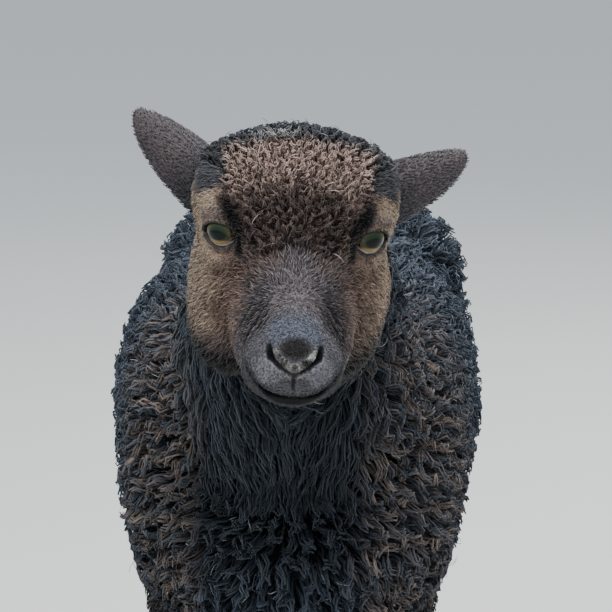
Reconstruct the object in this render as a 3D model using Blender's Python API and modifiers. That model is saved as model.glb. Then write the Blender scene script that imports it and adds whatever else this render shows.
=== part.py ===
"""A young dark lamb with a curly fleece, standing, at life size.

The lamb faces -Y and stands on z = 0, with its own left side towards +X. Lengths are in
metres and angles in degrees. The flesh is a set of balls and tapered bars that share one
blended surface. A mesh is wrapped round the forms of a node and settled onto that surface.
The fleece is rounded clumps set close on a core that is half as deep as the coat.
"""

import math
import random
from collections import namedtuple

import bmesh
import bpy
import numpy as np
from mathutils import Euler, Matrix, Vector

Ball = namedtuple("Ball", "centre radii")
Bar = namedtuple("Bar", "start end start_radius end_radius")
Joint = namedtuple("Joint", "out along up radius")

# Trunk
BARREL_HEIGHT = 0.328
BARREL_HALF_WIDTH = 0.118
BARREL_HALF_DEPTH = 0.110
BARREL_HALF_LENGTH = 0.195
CHEST_Y = -0.145
SHOULDER_Y = -0.105
SHOULDER_OUT = 0.058
SHOULDER_DRIFT = -0.003
RUMP_Y = 0.162
RUMP_DRIFT = 0.010
THIGH_OUT = 0.062
TRUNK_BLEND = 0.010

# Neck
NECK_ROOT = (0.0, -0.125, 0.340)
NECK_TOP = (0.0, -0.262, 0.452)
NECK_ROOT_RADIUS = 0.084
NECK_TOP_RADIUS = 0.056
NECK_BLEND = 0.009
NECK_CUT = (0.0, -0.178, 0.392)
HEAD_CUT_BACK = 0.040
HEAD_CUT_DROP = -0.030
HEAD_CUT_LEAN = -25.0
HEAD_CUT_FADE = 0.035

# Head, about the point midway between the eyes, with the nose towards -Y before it is turned
HEAD_ORIGIN = (0.0, -0.335, 0.487)
HEAD_PITCH = 26.5
HEAD_ROLL = 3.3
HEAD_YAW = 2.0
HEAD_BLEND = 0.0045
CHEEK_DRIFT = -0.003
EYE_OUT = 0.0368
EYE_BACK = 0.0065
EYE_LIFT = 0.0030
EYE_RADIUS = 0.0125
GAZE_OUT = 36.0
GAZE_UP = -4.0
ORBIT_OUT = 0.0085
ORBIT_RADIUS = 0.0125
LID_THICKNESS = 0.0020
LID_LENGTH = 0.0100
LID_HEIGHT = 0.0068
MUZZLE_Y = -0.083
MUZZLE_HALF_WIDTH = 0.0235
MOUTH_FRONT = -0.0985
MOUTH_HEIGHT = -0.0340
MOUTH_SLOPE = -0.158
MOUTH_GAP = 0.0016
MOUTH_DEPTH = 0.0030
POLL_SINK = 0.0035
POLL_CURL_HEIGHT = 0.0055

# Ears, as a rolled leaf
EAR_LENGTH = 0.066
EAR_HALF_GIRTH = 0.034
EAR_THICKNESS = 0.0032
EAR_ROOT = (0.046, 0.048, 0.009)
EAR_BULB_RADIUS = 0.0145
EAR_ROLL_ROOT = 112.0
EAR_ROLL_TIP = 60.0
EAR_LEFT_WAY = (0.0407, 0.0367, 0.0115)
EAR_RIGHT_WAY = (-0.0345, 0.0340, 0.0278)
EAR_OPENING = (0.0, 0.75, -0.70)

# Legs and feet
FORELEG = (
    Joint(0.060, -0.112, 0.255, 0.0360),
    Joint(0.058, -0.114, 0.222, 0.0305),
    Joint(0.053, -0.124, 0.152, 0.0190),
    Joint(0.052, -0.126, 0.137, 0.0182),
    Joint(0.051, -0.121, 0.118, 0.0142),
    Joint(0.050, -0.121, 0.064, 0.0124),
    Joint(0.050, -0.122, 0.048, 0.0152),
    Joint(0.050, -0.133, 0.018, 0.0148),
)
HINDLEG = (
    Joint(0.062, 0.150, 0.262, 0.0420),
    Joint(0.060, 0.148, 0.228, 0.0370),
    Joint(0.056, 0.202, 0.164, 0.0205),
    Joint(0.055, 0.214, 0.148, 0.0196),
    Joint(0.054, 0.209, 0.126, 0.0152),
    Joint(0.053, 0.199, 0.066, 0.0130),
    Joint(0.053, 0.196, 0.049, 0.0156),
    Joint(0.053, 0.184, 0.018, 0.0150),
)
LEG_BLEND = 0.0022
KNEE_CUT = 0.122
HOCK_CUT = 0.130
DEWCLAW_RADIUS = 0.0042
CORONET_HEIGHT = 0.0230
CORONET_SLOPE = 12.0
CLAW_HALF_LENGTH = 0.0200
CLAW_HALF_WIDTH = 0.0078
CLAW_GAP = 0.0022
CLAW_TOP_SCALE = 0.80

# Tail
TAIL_ROOT = (0.012, 0.238, 0.398)
TAIL_BEND = (0.013, 0.264, 0.372)
TAIL_TIP = (0.014, 0.268, 0.288)
TAIL_RADIUS = 0.019

# Coat
FLEECE_DEPTH = 0.024
TORSO_CLUMPS = 142
NECK_CLUMPS = 28
POLL_CLUMPS = 32
TAIL_CLUMPS = 22
CLUMP_SPREAD = 0.62
CLUMP_OVERSHOOT = 0.0015
CLUMP_SINK = 0.002
CLUMP_LEAN = 12.0
CLUMP_SIDES = 7
CLUMP_RINGS = (-32.0, 10.0, 48.0)
CURL_SIDES = 6
CURL_RINGS = (-22.0, 42.0)

# Gaps and mesh sizes
GAP = 0.0003
SEAT_GAP = 0.00038
TRUNK_VOXEL = 0.006
HEAD_VOXEL = 0.0023
LEG_VOXEL = 0.0028
TORSO_CORE_TRIANGLES = 1500
WOOL_TRIANGLES = 7000
SKULL_TRIANGLES = 1900
HEAD_TRIANGLES = 3000
LEG_TRIANGLES = 470
TAIL_TRIANGLES = 240
TINY = 1e-9
FAR = 2.0

COLOURS = {
    "fleece": ((0.020, 0.020, 0.024), 0.85),
    "face": ((0.075, 0.045, 0.032), 0.80),
    "ear": ((0.050, 0.034, 0.030), 0.80),
    "leg": ((0.020, 0.018, 0.019), 0.75),
    "eye": ((0.160, 0.120, 0.030), 0.08),
    "hoof": ((0.018, 0.016, 0.015), 0.45),
}


def head_turn():
    """The turn from the head's own axes to the world's."""
    pitch = Matrix.Rotation(math.radians(HEAD_PITCH), 3, "X")
    roll = Matrix.Rotation(math.radians(HEAD_ROLL), 3, "Y")
    yaw = Matrix.Rotation(math.radians(HEAD_YAW), 3, "Z")
    return yaw @ roll @ pitch


def head_place(out, along, up):
    """A point of the head, given in its own axes, in the world."""
    return Vector(HEAD_ORIGIN) + head_turn() @ Vector((out, along, up))


def both_sides(forms):
    """The forms with their mirror images in the plane x = 0."""
    mirrored = []
    for form in forms:
        if isinstance(form, Ball):
            out, along, up = form.centre
            mirrored.append(Ball((-out, along, up), form.radii))
        else:
            ends = [(-point[0], point[1], point[2]) for point in (form.start, form.end)]
            mirrored.append(Bar(*ends, form.start_radius, form.end_radius))
    return list(forms) + mirrored


def shifted(forms, sideways):
    """Balls moved sideways."""
    return [
        Ball((form.centre[0] + sideways, form.centre[1], form.centre[2]), form.radii)
        for form in forms
    ]


def trunk_forms():
    """Barrel, ribs, chest, shoulders, withers, loin, rump, hips and thighs."""
    middle = [
        Ball(
            (0.0, 0.0, BARREL_HEIGHT),
            (BARREL_HALF_WIDTH, BARREL_HALF_LENGTH, BARREL_HALF_DEPTH),
        ),
        Ball((0.0, CHEST_Y, 0.285), (0.082, 0.080, 0.084)),
        Ball((0.0, -0.095, 0.388), (0.056, 0.095, 0.054)),
        Ball((RUMP_DRIFT / 2, 0.070, 0.384), (0.078, 0.140, 0.058)),
        Ball((RUMP_DRIFT, RUMP_Y, 0.348), (0.108, 0.088, 0.092)),
    ]
    ribs = both_sides([Ball((0.046, -0.015, 0.368), (0.058, 0.130, 0.052))])
    shoulders = both_sides([Ball((SHOULDER_OUT, SHOULDER_Y, 0.302), (0.046, 0.068, 0.104))])
    hind = both_sides(
        [
            Ball((0.052, 0.140, 0.392), (0.050, 0.070, 0.046)),
            Ball((THIGH_OUT, 0.158, 0.282), (0.045, 0.074, 0.082)),
        ]
    )
    return middle + ribs + shifted(shoulders, SHOULDER_DRIFT) + shifted(hind, RUMP_DRIFT)


def neck_forms():
    """The neck, thick at the shoulders and slim behind the jaw."""
    return [Bar(NECK_ROOT, NECK_TOP, NECK_ROOT_RADIUS, NECK_TOP_RADIUS)]


def head_forms():
    """Skull, brow, cheeks, bridge of the nose, muzzle, lips and jaw, in the head's axes."""
    middle = [
        Ball((0.0, 0.036, 0.002), (0.052, 0.050, 0.038)),
        Ball((0.0, 0.004, 0.006), (0.038, 0.034, 0.022)),
        Bar((0.0, 0.002, -0.008), (0.0, -0.072, -0.018), 0.0290, 0.0180),
        Ball((0.0, MUZZLE_Y, -0.0185), (MUZZLE_HALF_WIDTH, 0.0165, 0.0160)),
        Ball((0.0, -0.0760, -0.0385), (0.0150, 0.0135, 0.0085)),
        Bar((0.0, 0.012, -0.044), (0.0, -0.062, -0.036), 0.0300, 0.0140),
    ]
    sides = [
        Ball((0.0330, 0.0110, 0.0130), (0.0150, 0.0130, 0.0070)),
        Ball((0.0380, 0.036, 0.000), (0.0185, 0.024, 0.026)),
        Ball((0.0310, 0.034, 0.011), (0.0230, 0.032, 0.021)),
        Ball((0.0165, -0.026, -0.032), (0.0190, 0.052, 0.0235)),
        Ball((0.0120, -0.0840, -0.0285), (0.0130, 0.0125, 0.0105)),
    ]
    cheeks = [
        Ball((0.0310, 0.014, -0.036), (0.0235, 0.036, 0.038)),
        Ball((0.0290, 0.002, -0.060), (0.0240, 0.034, 0.0255)),
    ]
    return middle + both_sides(sides) + shifted(both_sides(cheeks), CHEEK_DRIFT)


def nostril_bars():
    """The nostrils and the split of the upper lip, in the head's axes."""
    side = [
        Bar((0.0165, -0.0915, -0.0050), (0.0110, -0.0975, -0.0095), 0.0030, 0.0025),
        Bar((0.0110, -0.0975, -0.0095), (0.0042, -0.1005, -0.0152), 0.0024, 0.0012),
    ]
    split = Bar((0.0, -0.1020, -0.0170), (0.0, -0.1000, -0.0325), 0.0010, 0.0010)
    return both_sides(side) + [split]


def gaze(side):
    """The way an eye looks, in the head's axes. Side is 1 on the lamb's left and -1 on its right."""
    turn, lift = math.radians(GAZE_OUT), math.radians(GAZE_UP)
    return Vector(
        (side * math.sin(turn) * math.cos(lift), -math.cos(turn) * math.cos(lift), math.sin(lift))
    )


def eye_centre(side):
    """The middle of an eyeball, in the head's axes."""
    return Vector((side * EYE_OUT, EYE_BACK, EYE_LIFT))


def ball_distance(points, ball):
    """Rough distance from points to a ball's surface, negative inside."""
    local = points - np.array(ball.centre)
    radii = np.array(ball.radii)
    share = np.linalg.norm(local / radii, axis=1)
    slope = np.linalg.norm(local / radii**2, axis=1)
    return share * (share - 1.0) / np.maximum(slope, TINY)


def bar_distance(points, bar):
    """Distance from points to a tapered round bar, negative inside."""
    start = np.array(bar.start)
    line = np.array(bar.end) - start
    length = line @ line
    taper = bar.start_radius - bar.end_radius
    cone = length - taper**2
    local = points - start
    along = local @ line
    beyond = along - length
    across = ((local * length - np.outer(along, line)) ** 2).sum(axis=1)
    before, after = along**2 * length, beyond**2 * length
    limit = np.sign(taper) * taper**2 * across
    away = (np.sqrt(across * cone / length) + along * taper) / length - bar.start_radius
    at_start = np.sign(along) * cone * before < limit
    at_end = np.sign(beyond) * cone * after > limit
    away = np.where(at_start, np.sqrt(across + before) / length - bar.start_radius, away)
    return np.where(at_end, np.sqrt(across + after) / length - bar.end_radius, away)


def blended(points, forms, blend):
    """Distance to the forms with the creases between them filled over the length blend."""
    total = np.zeros(len(points))
    for form in forms:
        measure = ball_distance if isinstance(form, Ball) else bar_distance
        total += np.exp(-measure(points, form) / blend)
    return -blend * np.log(np.maximum(total, 1e-300))


def joined(first, second, blend):
    """Two distances as one, with the crease between them filled."""
    return -blend * np.logaddexp(-first / blend, -second / blend)


def carved(first, second, blend):
    """The first distance with the second taken away from it."""
    return blend * np.logaddexp(first / blend, -second / blend)


def head_distance(local):
    """Distance to the head with the dishes of its orbits, at points in the head's axes."""
    head = blended(local, head_forms(), HEAD_BLEND)
    for side in (1, -1):
        orbit = tuple(eye_centre(side) + gaze(side) * ORBIT_OUT)
        head = carved(head, ball_distance(local, Ball(orbit, (ORBIT_RADIUS,) * 3)), 0.0022)
    return head


def body_distance(points):
    """Distance to the outer surface of trunk, neck and head together."""
    local = (points - np.array(HEAD_ORIGIN)) @ np.array(head_turn())
    trunk = blended(points, trunk_forms() + neck_forms(), TRUNK_BLEND)
    return joined(head_distance(local), trunk, NECK_BLEND)


def poll_share(points):
    """1 where the short curls of the poll grow, 0 elsewhere and smooth between."""
    local = (points - np.array(HEAD_ORIGIN)) @ np.array(head_turn())
    up = np.clip((local[:, 2] - 0.012) / 0.008, 0.0, 1.0)
    back = np.clip((local[:, 1] + 0.004) / 0.010, 0.0, 1.0)
    share = up * back
    return share * share * (3.0 - 2.0 * share)


def steepness(points, distance):
    """The gradient of a distance at points."""
    reach = 2e-4
    columns = []
    for axis in np.eye(3):
        ahead, behind = distance(points + axis * reach), distance(points - axis * reach)
        columns.append((ahead - behind) / (2 * reach))
    return np.stack(columns, axis=1)


def corners(mesh):
    """A mesh's vertices as an array."""
    flat = np.empty(len(mesh.vertices) * 3)
    mesh.vertices.foreach_get("co", flat)
    return flat.reshape(-1, 3)


def settle(obj, distance, step, rounds):
    """Moves every vertex onto the surface where distance is zero, at most a step at a time."""
    points = corners(obj.data)
    for _ in range(rounds):
        away = distance(points)
        slope = steepness(points, distance)
        move = away[:, None] * slope / np.maximum((slope**2).sum(axis=1), TINY)[:, None]
        length = np.maximum(np.linalg.norm(move, axis=1), TINY)
        points -= move * np.minimum(1.0, step / length)[:, None]
    obj.data.vertices.foreach_set("co", points.ravel())
    obj.data.update()


def add_object(name, mesh, collection=None):
    """A mesh as a named object in a collection."""
    obj = bpy.data.objects.new(name, mesh)
    (collection or LAMB).objects.link(obj)
    return obj


def from_bmesh(name, shape, collection=None):
    """A bmesh as a named object, with its faces turned outwards."""
    bmesh.ops.recalc_face_normals(shape, faces=shape.faces)
    mesh = bpy.data.meshes.new(name)
    shape.to_mesh(mesh)
    shape.free()
    return add_object(name, mesh, collection)


def apply_modifiers(obj):
    """Replaces an object's mesh with the one that its modifiers make."""
    graph = bpy.context.evaluated_depsgraph_get()
    made = bpy.data.meshes.new_from_object(obj.evaluated_get(graph))
    obj.modifiers.clear()
    old, obj.data = obj.data, made
    bpy.data.meshes.remove(old)


def remove(obj):
    """Deletes an object and its mesh."""
    mesh = obj.data
    bpy.data.objects.remove(obj)
    bpy.data.meshes.remove(mesh)


def combine(obj, others, operation):
    """One Boolean of an object with some others, which are then removed."""
    tools = bpy.data.collections.new("tools")
    bpy.context.scene.collection.children.link(tools)
    for other in others:
        for holder in list(other.users_collection):
            holder.objects.unlink(other)
        tools.objects.link(other)
    modifier = obj.modifiers.new("combine", "BOOLEAN")
    modifier.operation = operation
    modifier.operand_type = "COLLECTION"
    modifier.collection = tools
    modifier.solver = "MANIFOLD"
    apply_modifiers(obj)
    for other in others:
        remove(other)
    bpy.data.collections.remove(tools)
    keep_largest(obj)


def keep_largest(obj):
    """Drops every loose surface of a mesh but the one with the most faces."""
    shape = bmesh.new()
    shape.from_mesh(obj.data)
    bmesh.ops.remove_doubles(shape, verts=shape.verts, dist=1e-6)
    waiting, groups = set(shape.faces), []
    while waiting:
        group, edge_of_group = set(), [waiting.pop()]
        while edge_of_group:
            face = edge_of_group.pop()
            group.add(face)
            for edge in face.edges:
                for neighbour in edge.link_faces:
                    if neighbour in waiting:
                        waiting.discard(neighbour)
                        edge_of_group.append(neighbour)
        groups.append(group)
    largest = max(groups, key=len)
    spare = [face for group in groups if group is not largest for face in group]
    bmesh.ops.delete(shape, geom=spare, context="FACES")
    shape.to_mesh(obj.data)
    shape.free()


def add_form(shape, form, place):
    """Adds the rough shape of one form to a bmesh."""
    if isinstance(form, Ball):
        size = Matrix.Translation(form.centre) @ Matrix.Diagonal((*form.radii, 1.0))
        bmesh.ops.create_icosphere(shape, subdivisions=3, radius=1.0, matrix=place @ size)
        return
    start, end = Vector(form.start), Vector(form.end)
    for point, radius in ((start, form.start_radius), (end, form.end_radius)):
        middle = place @ Matrix.Translation(point)
        bmesh.ops.create_icosphere(shape, subdivisions=3, radius=radius, matrix=middle)
    turn = (end - start).to_track_quat("Z", "Y").to_matrix().to_4x4()
    bmesh.ops.create_cone(
        shape,
        cap_ends=True,
        segments=24,
        radius1=form.start_radius,
        radius2=form.end_radius,
        depth=(end - start).length,
        matrix=place @ Matrix.Translation((start + end) / 2) @ turn,
    )


def wrap(name, placed_forms, distance, voxel):
    """A closed mesh round some forms, settled onto the surface where distance is zero."""
    shape = bmesh.new()
    for forms, place in placed_forms:
        for form in forms:
            add_form(shape, form, place)
    obj = from_bmesh(name, shape)
    for rounds in (6, 4):
        remesh = obj.modifiers.new("wrap", "REMESH")
        remesh.mode = "VOXEL"
        remesh.voxel_size = voxel
        apply_modifiers(obj)
        settle(obj, distance, voxel, rounds)
    keep_largest(obj)
    return obj


def thin(obj, triangles):
    """Collapses edges until about that many triangles are left."""
    obj.data.calc_loop_triangles()
    modifier = obj.modifiers.new("thin", "DECIMATE")
    modifier.ratio = min(1.0, triangles / len(obj.data.loop_triangles))
    modifier.use_collapse_triangulate = True
    apply_modifiers(obj)


def half_space(point, normal, gap=GAP / 2):
    """A large box that starts a little short of a plane and lies beyond it, as a cutter."""
    way = Vector(normal).normalized()
    shape = bmesh.new()
    place = (
        Matrix.Translation(Vector(point) + way * (FAR / 2 - gap))
        @ way.to_track_quat("Z", "Y").to_matrix().to_4x4()
    )
    bmesh.ops.create_cube(shape, size=FAR, matrix=place)
    return from_bmesh("half_space", shape)


def cut_beyond(obj, point, normal):
    """Removes what lies beyond a plane."""
    combine(obj, [half_space(point, normal)], "DIFFERENCE")


def copy_of(obj, name):
    """A copy with a mesh of its own."""
    return add_object(name, obj.data.copy())


def swollen(obj, by):
    """A copy that stands out from a mesh on every side, to cut the space that it fits."""
    bigger = copy_of(obj, "swollen")
    modifier = bigger.modifiers.new("swell", "DISPLACE")
    modifier.strength = by
    modifier.mid_level = 0.0
    apply_modifiers(bigger)
    return bigger


def seat(obj, *pieces):
    """Cuts the space that some pieces fit out of an object, with a gap all round."""
    combine(obj, [swollen(piece, SEAT_GAP) for piece in pieces], "DIFFERENCE")


def spread_points(obj, count, inside, seed):
    """Evenly spread points over part of a mesh, with the normals there and their spacing."""
    vertices = [vertex for vertex in obj.data.vertices if inside(vertex.co)]
    points = np.array([vertex.co for vertex in vertices])
    chosen = random.Random(seed).sample(range(len(points)), count)
    for _ in range(12):
        gaps = np.linalg.norm(points[:, None] - points[None, chosen], axis=2)
        owner = gaps.argmin(axis=1)
        for place in range(count):
            own = points[owner == place]
            if len(own):
                middle = own.mean(axis=0)
                chosen[place] = int(np.linalg.norm(points - middle, axis=1).argmin())
    chosen = sorted(set(chosen))
    places = points[chosen]
    gaps = np.linalg.norm(places[:, None] - places[None], axis=2)
    spacing = float(np.sort(gaps, axis=1)[:, 1:5].mean())
    return [(vertices[i].co.copy(), vertices[i].normal.copy()) for i in chosen], spacing


def clump(place, normal, half_width, height, draw, sides, elevations):
    """One rounded clump of wool, a dome that leans along the lie of the coat."""
    lie = Vector((0.0, 0.75, -0.65))
    along = (lie - normal * lie.dot(normal)).normalized()
    across = normal.cross(along)
    axes = Matrix((across, along, normal)).transposed()
    lean = Matrix.Rotation(math.radians(-CLUMP_LEAN * draw.uniform(0.3, 1.4)), 3, "X")
    spin = draw.uniform(0.0, 1.0)
    wide = half_width * draw.uniform(0.92, 1.06)
    turn = axes @ lean @ Matrix.Diagonal((wide, half_width, height))
    middle = place - normal * CLUMP_SINK
    shape = bmesh.new()
    rings = []
    for elevation in elevations:
        out, up = math.cos(math.radians(elevation)), math.sin(math.radians(elevation))
        ring = []
        for number in range(sides):
            angle = 2 * math.pi * (number + spin) / sides
            bump = draw.uniform(0.95, 1.05)
            point = Vector((bump * out * math.cos(angle), bump * out * math.sin(angle), up))
            ring.append(shape.verts.new(middle + turn @ point))
        rings.append(ring)
    top = shape.verts.new(middle + turn @ Vector((0.0, 0.0, 1.0)))
    shape.faces.new(rings[0])
    for lower, upper in zip(rings, rings[1:]):
        for number in range(sides):
            after = (number + 1) % sides
            shape.faces.new((lower[number], lower[after], upper[after], upper[number]))
    for number in range(sides):
        shape.faces.new((rings[-1][number], rings[-1][(number + 1) % sides], top))
    bmesh.ops.triangulate(shape, faces=shape.faces)
    return from_bmesh("clump", shape)


def clumps(obj, count, depth, inside, seed, sides=CLUMP_SIDES, elevations=CLUMP_RINGS):
    """Clumps set close over the part of a mesh that lies inside a region."""
    draw = random.Random(seed)
    places, spacing = spread_points(obj, count, inside, seed)
    made = []
    for place, normal in places:
        half_width = spacing * CLUMP_SPREAD * draw.uniform(0.93, 1.08)
        height = (depth + CLUMP_SINK + CLUMP_OVERSHOOT) * draw.uniform(0.90, 1.10)
        made.append(clump(place, normal, half_width, height, draw, sides, elevations))
    return made


def woolly_body():
    """Torso and neck as one, with the fleece on them."""

    cut_point, cut_way = (np.array(part) for part in head_cut())

    def core(points):
        behind = np.clip((points - cut_point) @ cut_way / HEAD_CUT_FADE, 0.1, 1.0)
        return body_distance(points) + FLEECE_DEPTH / 2 * behind

    body = wrap("torso", [(trunk_forms() + neck_forms(), Matrix())], core, TRUNK_VOXEL)
    neck_way = Vector(NECK_TOP) - Vector(NECK_ROOT)

    def on_trunk(point):
        return (point - Vector(NECK_CUT)).dot(neck_way) <= 0

    def on_neck(point):
        return not on_trunk(point) and (np.array(point) - cut_point) @ cut_way > 0.008

    wool = clumps(body, TORSO_CLUMPS, FLEECE_DEPTH / 2, on_trunk, 11)
    wool += clumps(body, NECK_CLUMPS, FLEECE_DEPTH / 2, on_neck, 12)
    thin(body, TORSO_CORE_TRIANGLES)
    combine(body, wool, "UNION")
    thin(body, WOOL_TRIANGLES)
    return body


def head_cut():
    """A point and a normal, backwards, of the plane between head and neck."""
    lean = math.radians(HEAD_CUT_LEAN)
    way = Vector((0.0, math.cos(lean), math.sin(lean)))
    return head_place(0.0, HEAD_CUT_BACK, HEAD_CUT_DROP), head_turn() @ way


def in_world(form):
    """A form of the head, moved to its place in the world. Balls become round."""
    if isinstance(form, Ball):
        return Ball(tuple(head_place(*form.centre)), (min(form.radii),) * 3)
    ends = (tuple(head_place(*form.start)), tuple(head_place(*form.end)))
    return Bar(*ends, form.start_radius, form.end_radius)


def lid_opening(side):
    """The almond between the lids of an eye, as a cutter."""
    look = gaze(side)
    across = look.cross(Vector((0.0, 0.0, 1.0))).normalized()
    rise = across.cross(look)
    size = Matrix.Diagonal((LID_LENGTH, LID_HEIGHT, 0.0080, 1.0))
    turn = Matrix((across, rise, look)).transposed().to_4x4()
    middle = Matrix.Translation(head_place(*(eye_centre(side) + look * EYE_RADIUS)))
    place = middle @ head_turn().to_4x4() @ turn @ size
    shape = bmesh.new()
    bmesh.ops.create_uvsphere(shape, u_segments=16, v_segments=8, radius=1.0, matrix=place)
    return from_bmesh("lid_opening", shape)


def mouth_cutter():
    """A thin band that follows the lips at the height of the mouth, as a cutter."""
    shape = bmesh.new()
    middle = np.array((0.0, -0.078, 0.0))
    sections = []
    for step in range(15):
        angle = math.radians(-98.0 + 14.0 * step)
        way = np.array((math.sin(angle), -math.cos(angle), 0.0))
        reach = 0.030
        for _ in range(40):
            point = middle + way * reach
            point[2] = MOUTH_HEIGHT + MOUTH_SLOPE * (point[1] - MOUTH_FRONT)
            reach -= float(head_distance(point[None])[0]) * 0.8
        section = []
        for length, rise in ((-1, -0.5), (1, -1.4), (1, 1.4), (-1, 0.5)):
            point = middle + way * (reach + length * MOUTH_DEPTH)
            point[2] = MOUTH_HEIGHT + MOUTH_SLOPE * (point[1] - MOUTH_FRONT) + rise * MOUTH_GAP
            section.append(shape.verts.new(head_place(*point)))
        sections.append(section)
    for first, second in zip(sections, sections[1:]):
        for number in range(4):
            after = (number + 1) % 4
            shape.faces.new((first[number], first[after], second[after], second[number]))
    shape.faces.new(sections[0])
    shape.faces.new(sections[-1])
    bmesh.ops.triangulate(shape, faces=shape.faces)
    return from_bmesh("mouth", shape)


def bar_mesh(bar, segments):
    """A round bar with domed ends, as a closed mesh."""
    start, end = Vector(bar.start), Vector(bar.end)
    turn = (end - start).to_track_quat("Z", "Y").to_matrix().to_4x4()
    shape = bmesh.new()
    bmesh.ops.create_uvsphere(shape, u_segments=segments, v_segments=6, radius=1.0)
    length = (end - start).length
    for vertex in shape.verts:
        upper = vertex.co.z > 0.01
        vertex.co *= bar.end_radius if upper else bar.start_radius
        vertex.co.z += length if upper else 0.0
    bmesh.ops.transform(shape, matrix=Matrix.Translation(start) @ turn, verts=shape.verts)
    return from_bmesh("bar", shape)


def make_head():
    """The head with its lids, nostrils and mouth, and short curls over the poll."""

    def surface(points):
        return body_distance(points) + POLL_SINK * poll_share(points)

    place = Matrix.Translation(HEAD_ORIGIN) @ head_turn().to_4x4()
    placed_forms = [(head_forms(), place), (neck_forms(), Matrix())]
    head = wrap("head", placed_forms, surface, HEAD_VOXEL)

    def on_poll(point):
        return poll_share(np.array([point]))[0] > 0.6

    curls = clumps(head, POLL_CLUMPS, POLL_CURL_HEIGHT, on_poll, 13, CURL_SIDES, CURL_RINGS)
    thin(head, SKULL_TRIANGLES)
    combine(head, curls + [eye_ball("lid", side, LID_THICKNESS) for side in (1, -1)], "UNION")
    thin(head, HEAD_TRIANGLES)
    cut_beyond(head, *head_cut())
    cutters = [lid_opening(1), lid_opening(-1), mouth_cutter()]
    cutters += [bar_mesh(in_world(bar), 10) for bar in nostril_bars()]
    for cutter in cutters:
        combine(head, [cutter], "DIFFERENCE")
    return head


def eye_ball(name, side, extra=0.0):
    """One eyeball, or the rounder shape of the lids over it."""
    shape = bmesh.new()
    look = head_turn() @ gaze(side)
    place = (
        Matrix.Translation(head_place(*eye_centre(side)))
        @ look.to_track_quat("Z", "Y").to_matrix().to_4x4()
    )
    bmesh.ops.create_uvsphere(
        shape, u_segments=14, v_segments=8, radius=EYE_RADIUS + extra, matrix=place
    )
    return from_bmesh(name, shape)


def ear_point(share, turn):
    """A point of an ear's leaf, with its axis along Z and its opening towards -Y."""
    roll = math.radians(EAR_ROLL_ROOT + (EAR_ROLL_TIP - EAR_ROLL_ROOT) * share)
    girth = EAR_HALF_GIRTH * (1.0 - share) ** 0.56
    radius = girth / roll
    return Vector(
        (
            radius * math.sin(turn * roll),
            -radius * (1.0 - math.cos(turn * roll)),
            share * EAR_LENGTH,
        )
    )


def ear_parts(name, side, way):
    """The two parts of an ear: a leaf rolled into a cup, and the bulb at its root."""
    rows, columns = 7, 6
    shape = bmesh.new()
    bmesh.ops.create_grid(shape, x_segments=columns, y_segments=rows, size=1.0)
    for vertex in shape.verts:
        share = 1.0 - ((1.0 - vertex.co.y) / 2.0) ** 1.5
        vertex.co = ear_point(share, vertex.co.x)
    bmesh.ops.remove_doubles(shape, verts=shape.verts, dist=1e-5)
    ear = from_bmesh(name, shape)
    solidify = ear.modifiers.new("wall", "SOLIDIFY")
    solidify.thickness = EAR_THICKNESS
    solidify.offset = 0.0
    apply_modifiers(ear)
    bulb = bmesh.new()
    radius = EAR_BULB_RADIUS
    place = Matrix.Translation((0.0, -radius * 0.7, 0.004)) @ Matrix.Diagonal((1, 0.9, 1.2, 1))
    bmesh.ops.create_icosphere(bulb, subdivisions=2, radius=radius, matrix=place)
    bulb = from_bmesh("bulb", bulb)
    axis = Vector(way).normalized()
    front = Vector(EAR_OPENING)
    front = (front - axis * front.dot(axis)).normalized()
    across = (-front).cross(axis)
    turn = Matrix((across, -front, axis)).transposed().to_4x4()
    root = head_place(side * EAR_ROOT[0], EAR_ROOT[1], EAR_ROOT[2])
    for part in (ear, bulb):
        part.data.transform(Matrix.Translation(root) @ turn)
    return ear, bulb


def leg_forms(joints, side, drift):
    """The bars of a leg from its top joint to its foot, with two dewclaws behind the fetlock."""
    points = [(side * joint.out + drift, joint.along, joint.up) for joint in joints]
    bars = [
        Bar(start, end, upper.radius, lower.radius)
        for start, end, upper, lower in zip(points, points[1:], joints, joints[1:])
    ]
    x, y, z = points[-2]
    back = joints[-2].radius
    for claw in (-1, 1):
        place = (x + claw * 0.0075, y + back * 0.80, z - 0.004)
        tip = (x + claw * 0.0078, y + back * 1.05, z - 0.010)
        bars.append(Bar(place, tip, DEWCLAW_RADIUS, DEWCLAW_RADIUS * 0.8))
    return bars


def coronet(side, joints, drift):
    """A point and a downward normal of the plane where the hair ends and the hooves begin."""
    foot = joints[-1]
    slope = math.radians(CORONET_SLOPE)
    point = Vector((side * foot.out + drift, foot.along, CORONET_HEIGHT))
    return point, Vector((0.0, math.sin(slope), -math.cos(slope)))


def make_leg(names, joints, side, drift, cut_height):
    """An upper and a lower part of one leg, parted by a level cut."""
    forms = leg_forms(joints, side, drift)

    def surface(points):
        return blended(points, forms, LEG_BLEND)

    upper = wrap(names[0], [(forms, Matrix())], surface, LEG_VOXEL)
    thin(upper, LEG_TRIANGLES)
    point, down = coronet(side, joints, drift)
    lower = copy_of(upper, names[1])
    level = (0.0, 0.0, cut_height)
    cut_beyond(upper, level, (0.0, 0.0, -1.0))
    cut_beyond(lower, level, (0.0, 0.0, 1.0))
    cut_beyond(lower, point, down)
    return upper, lower


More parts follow.
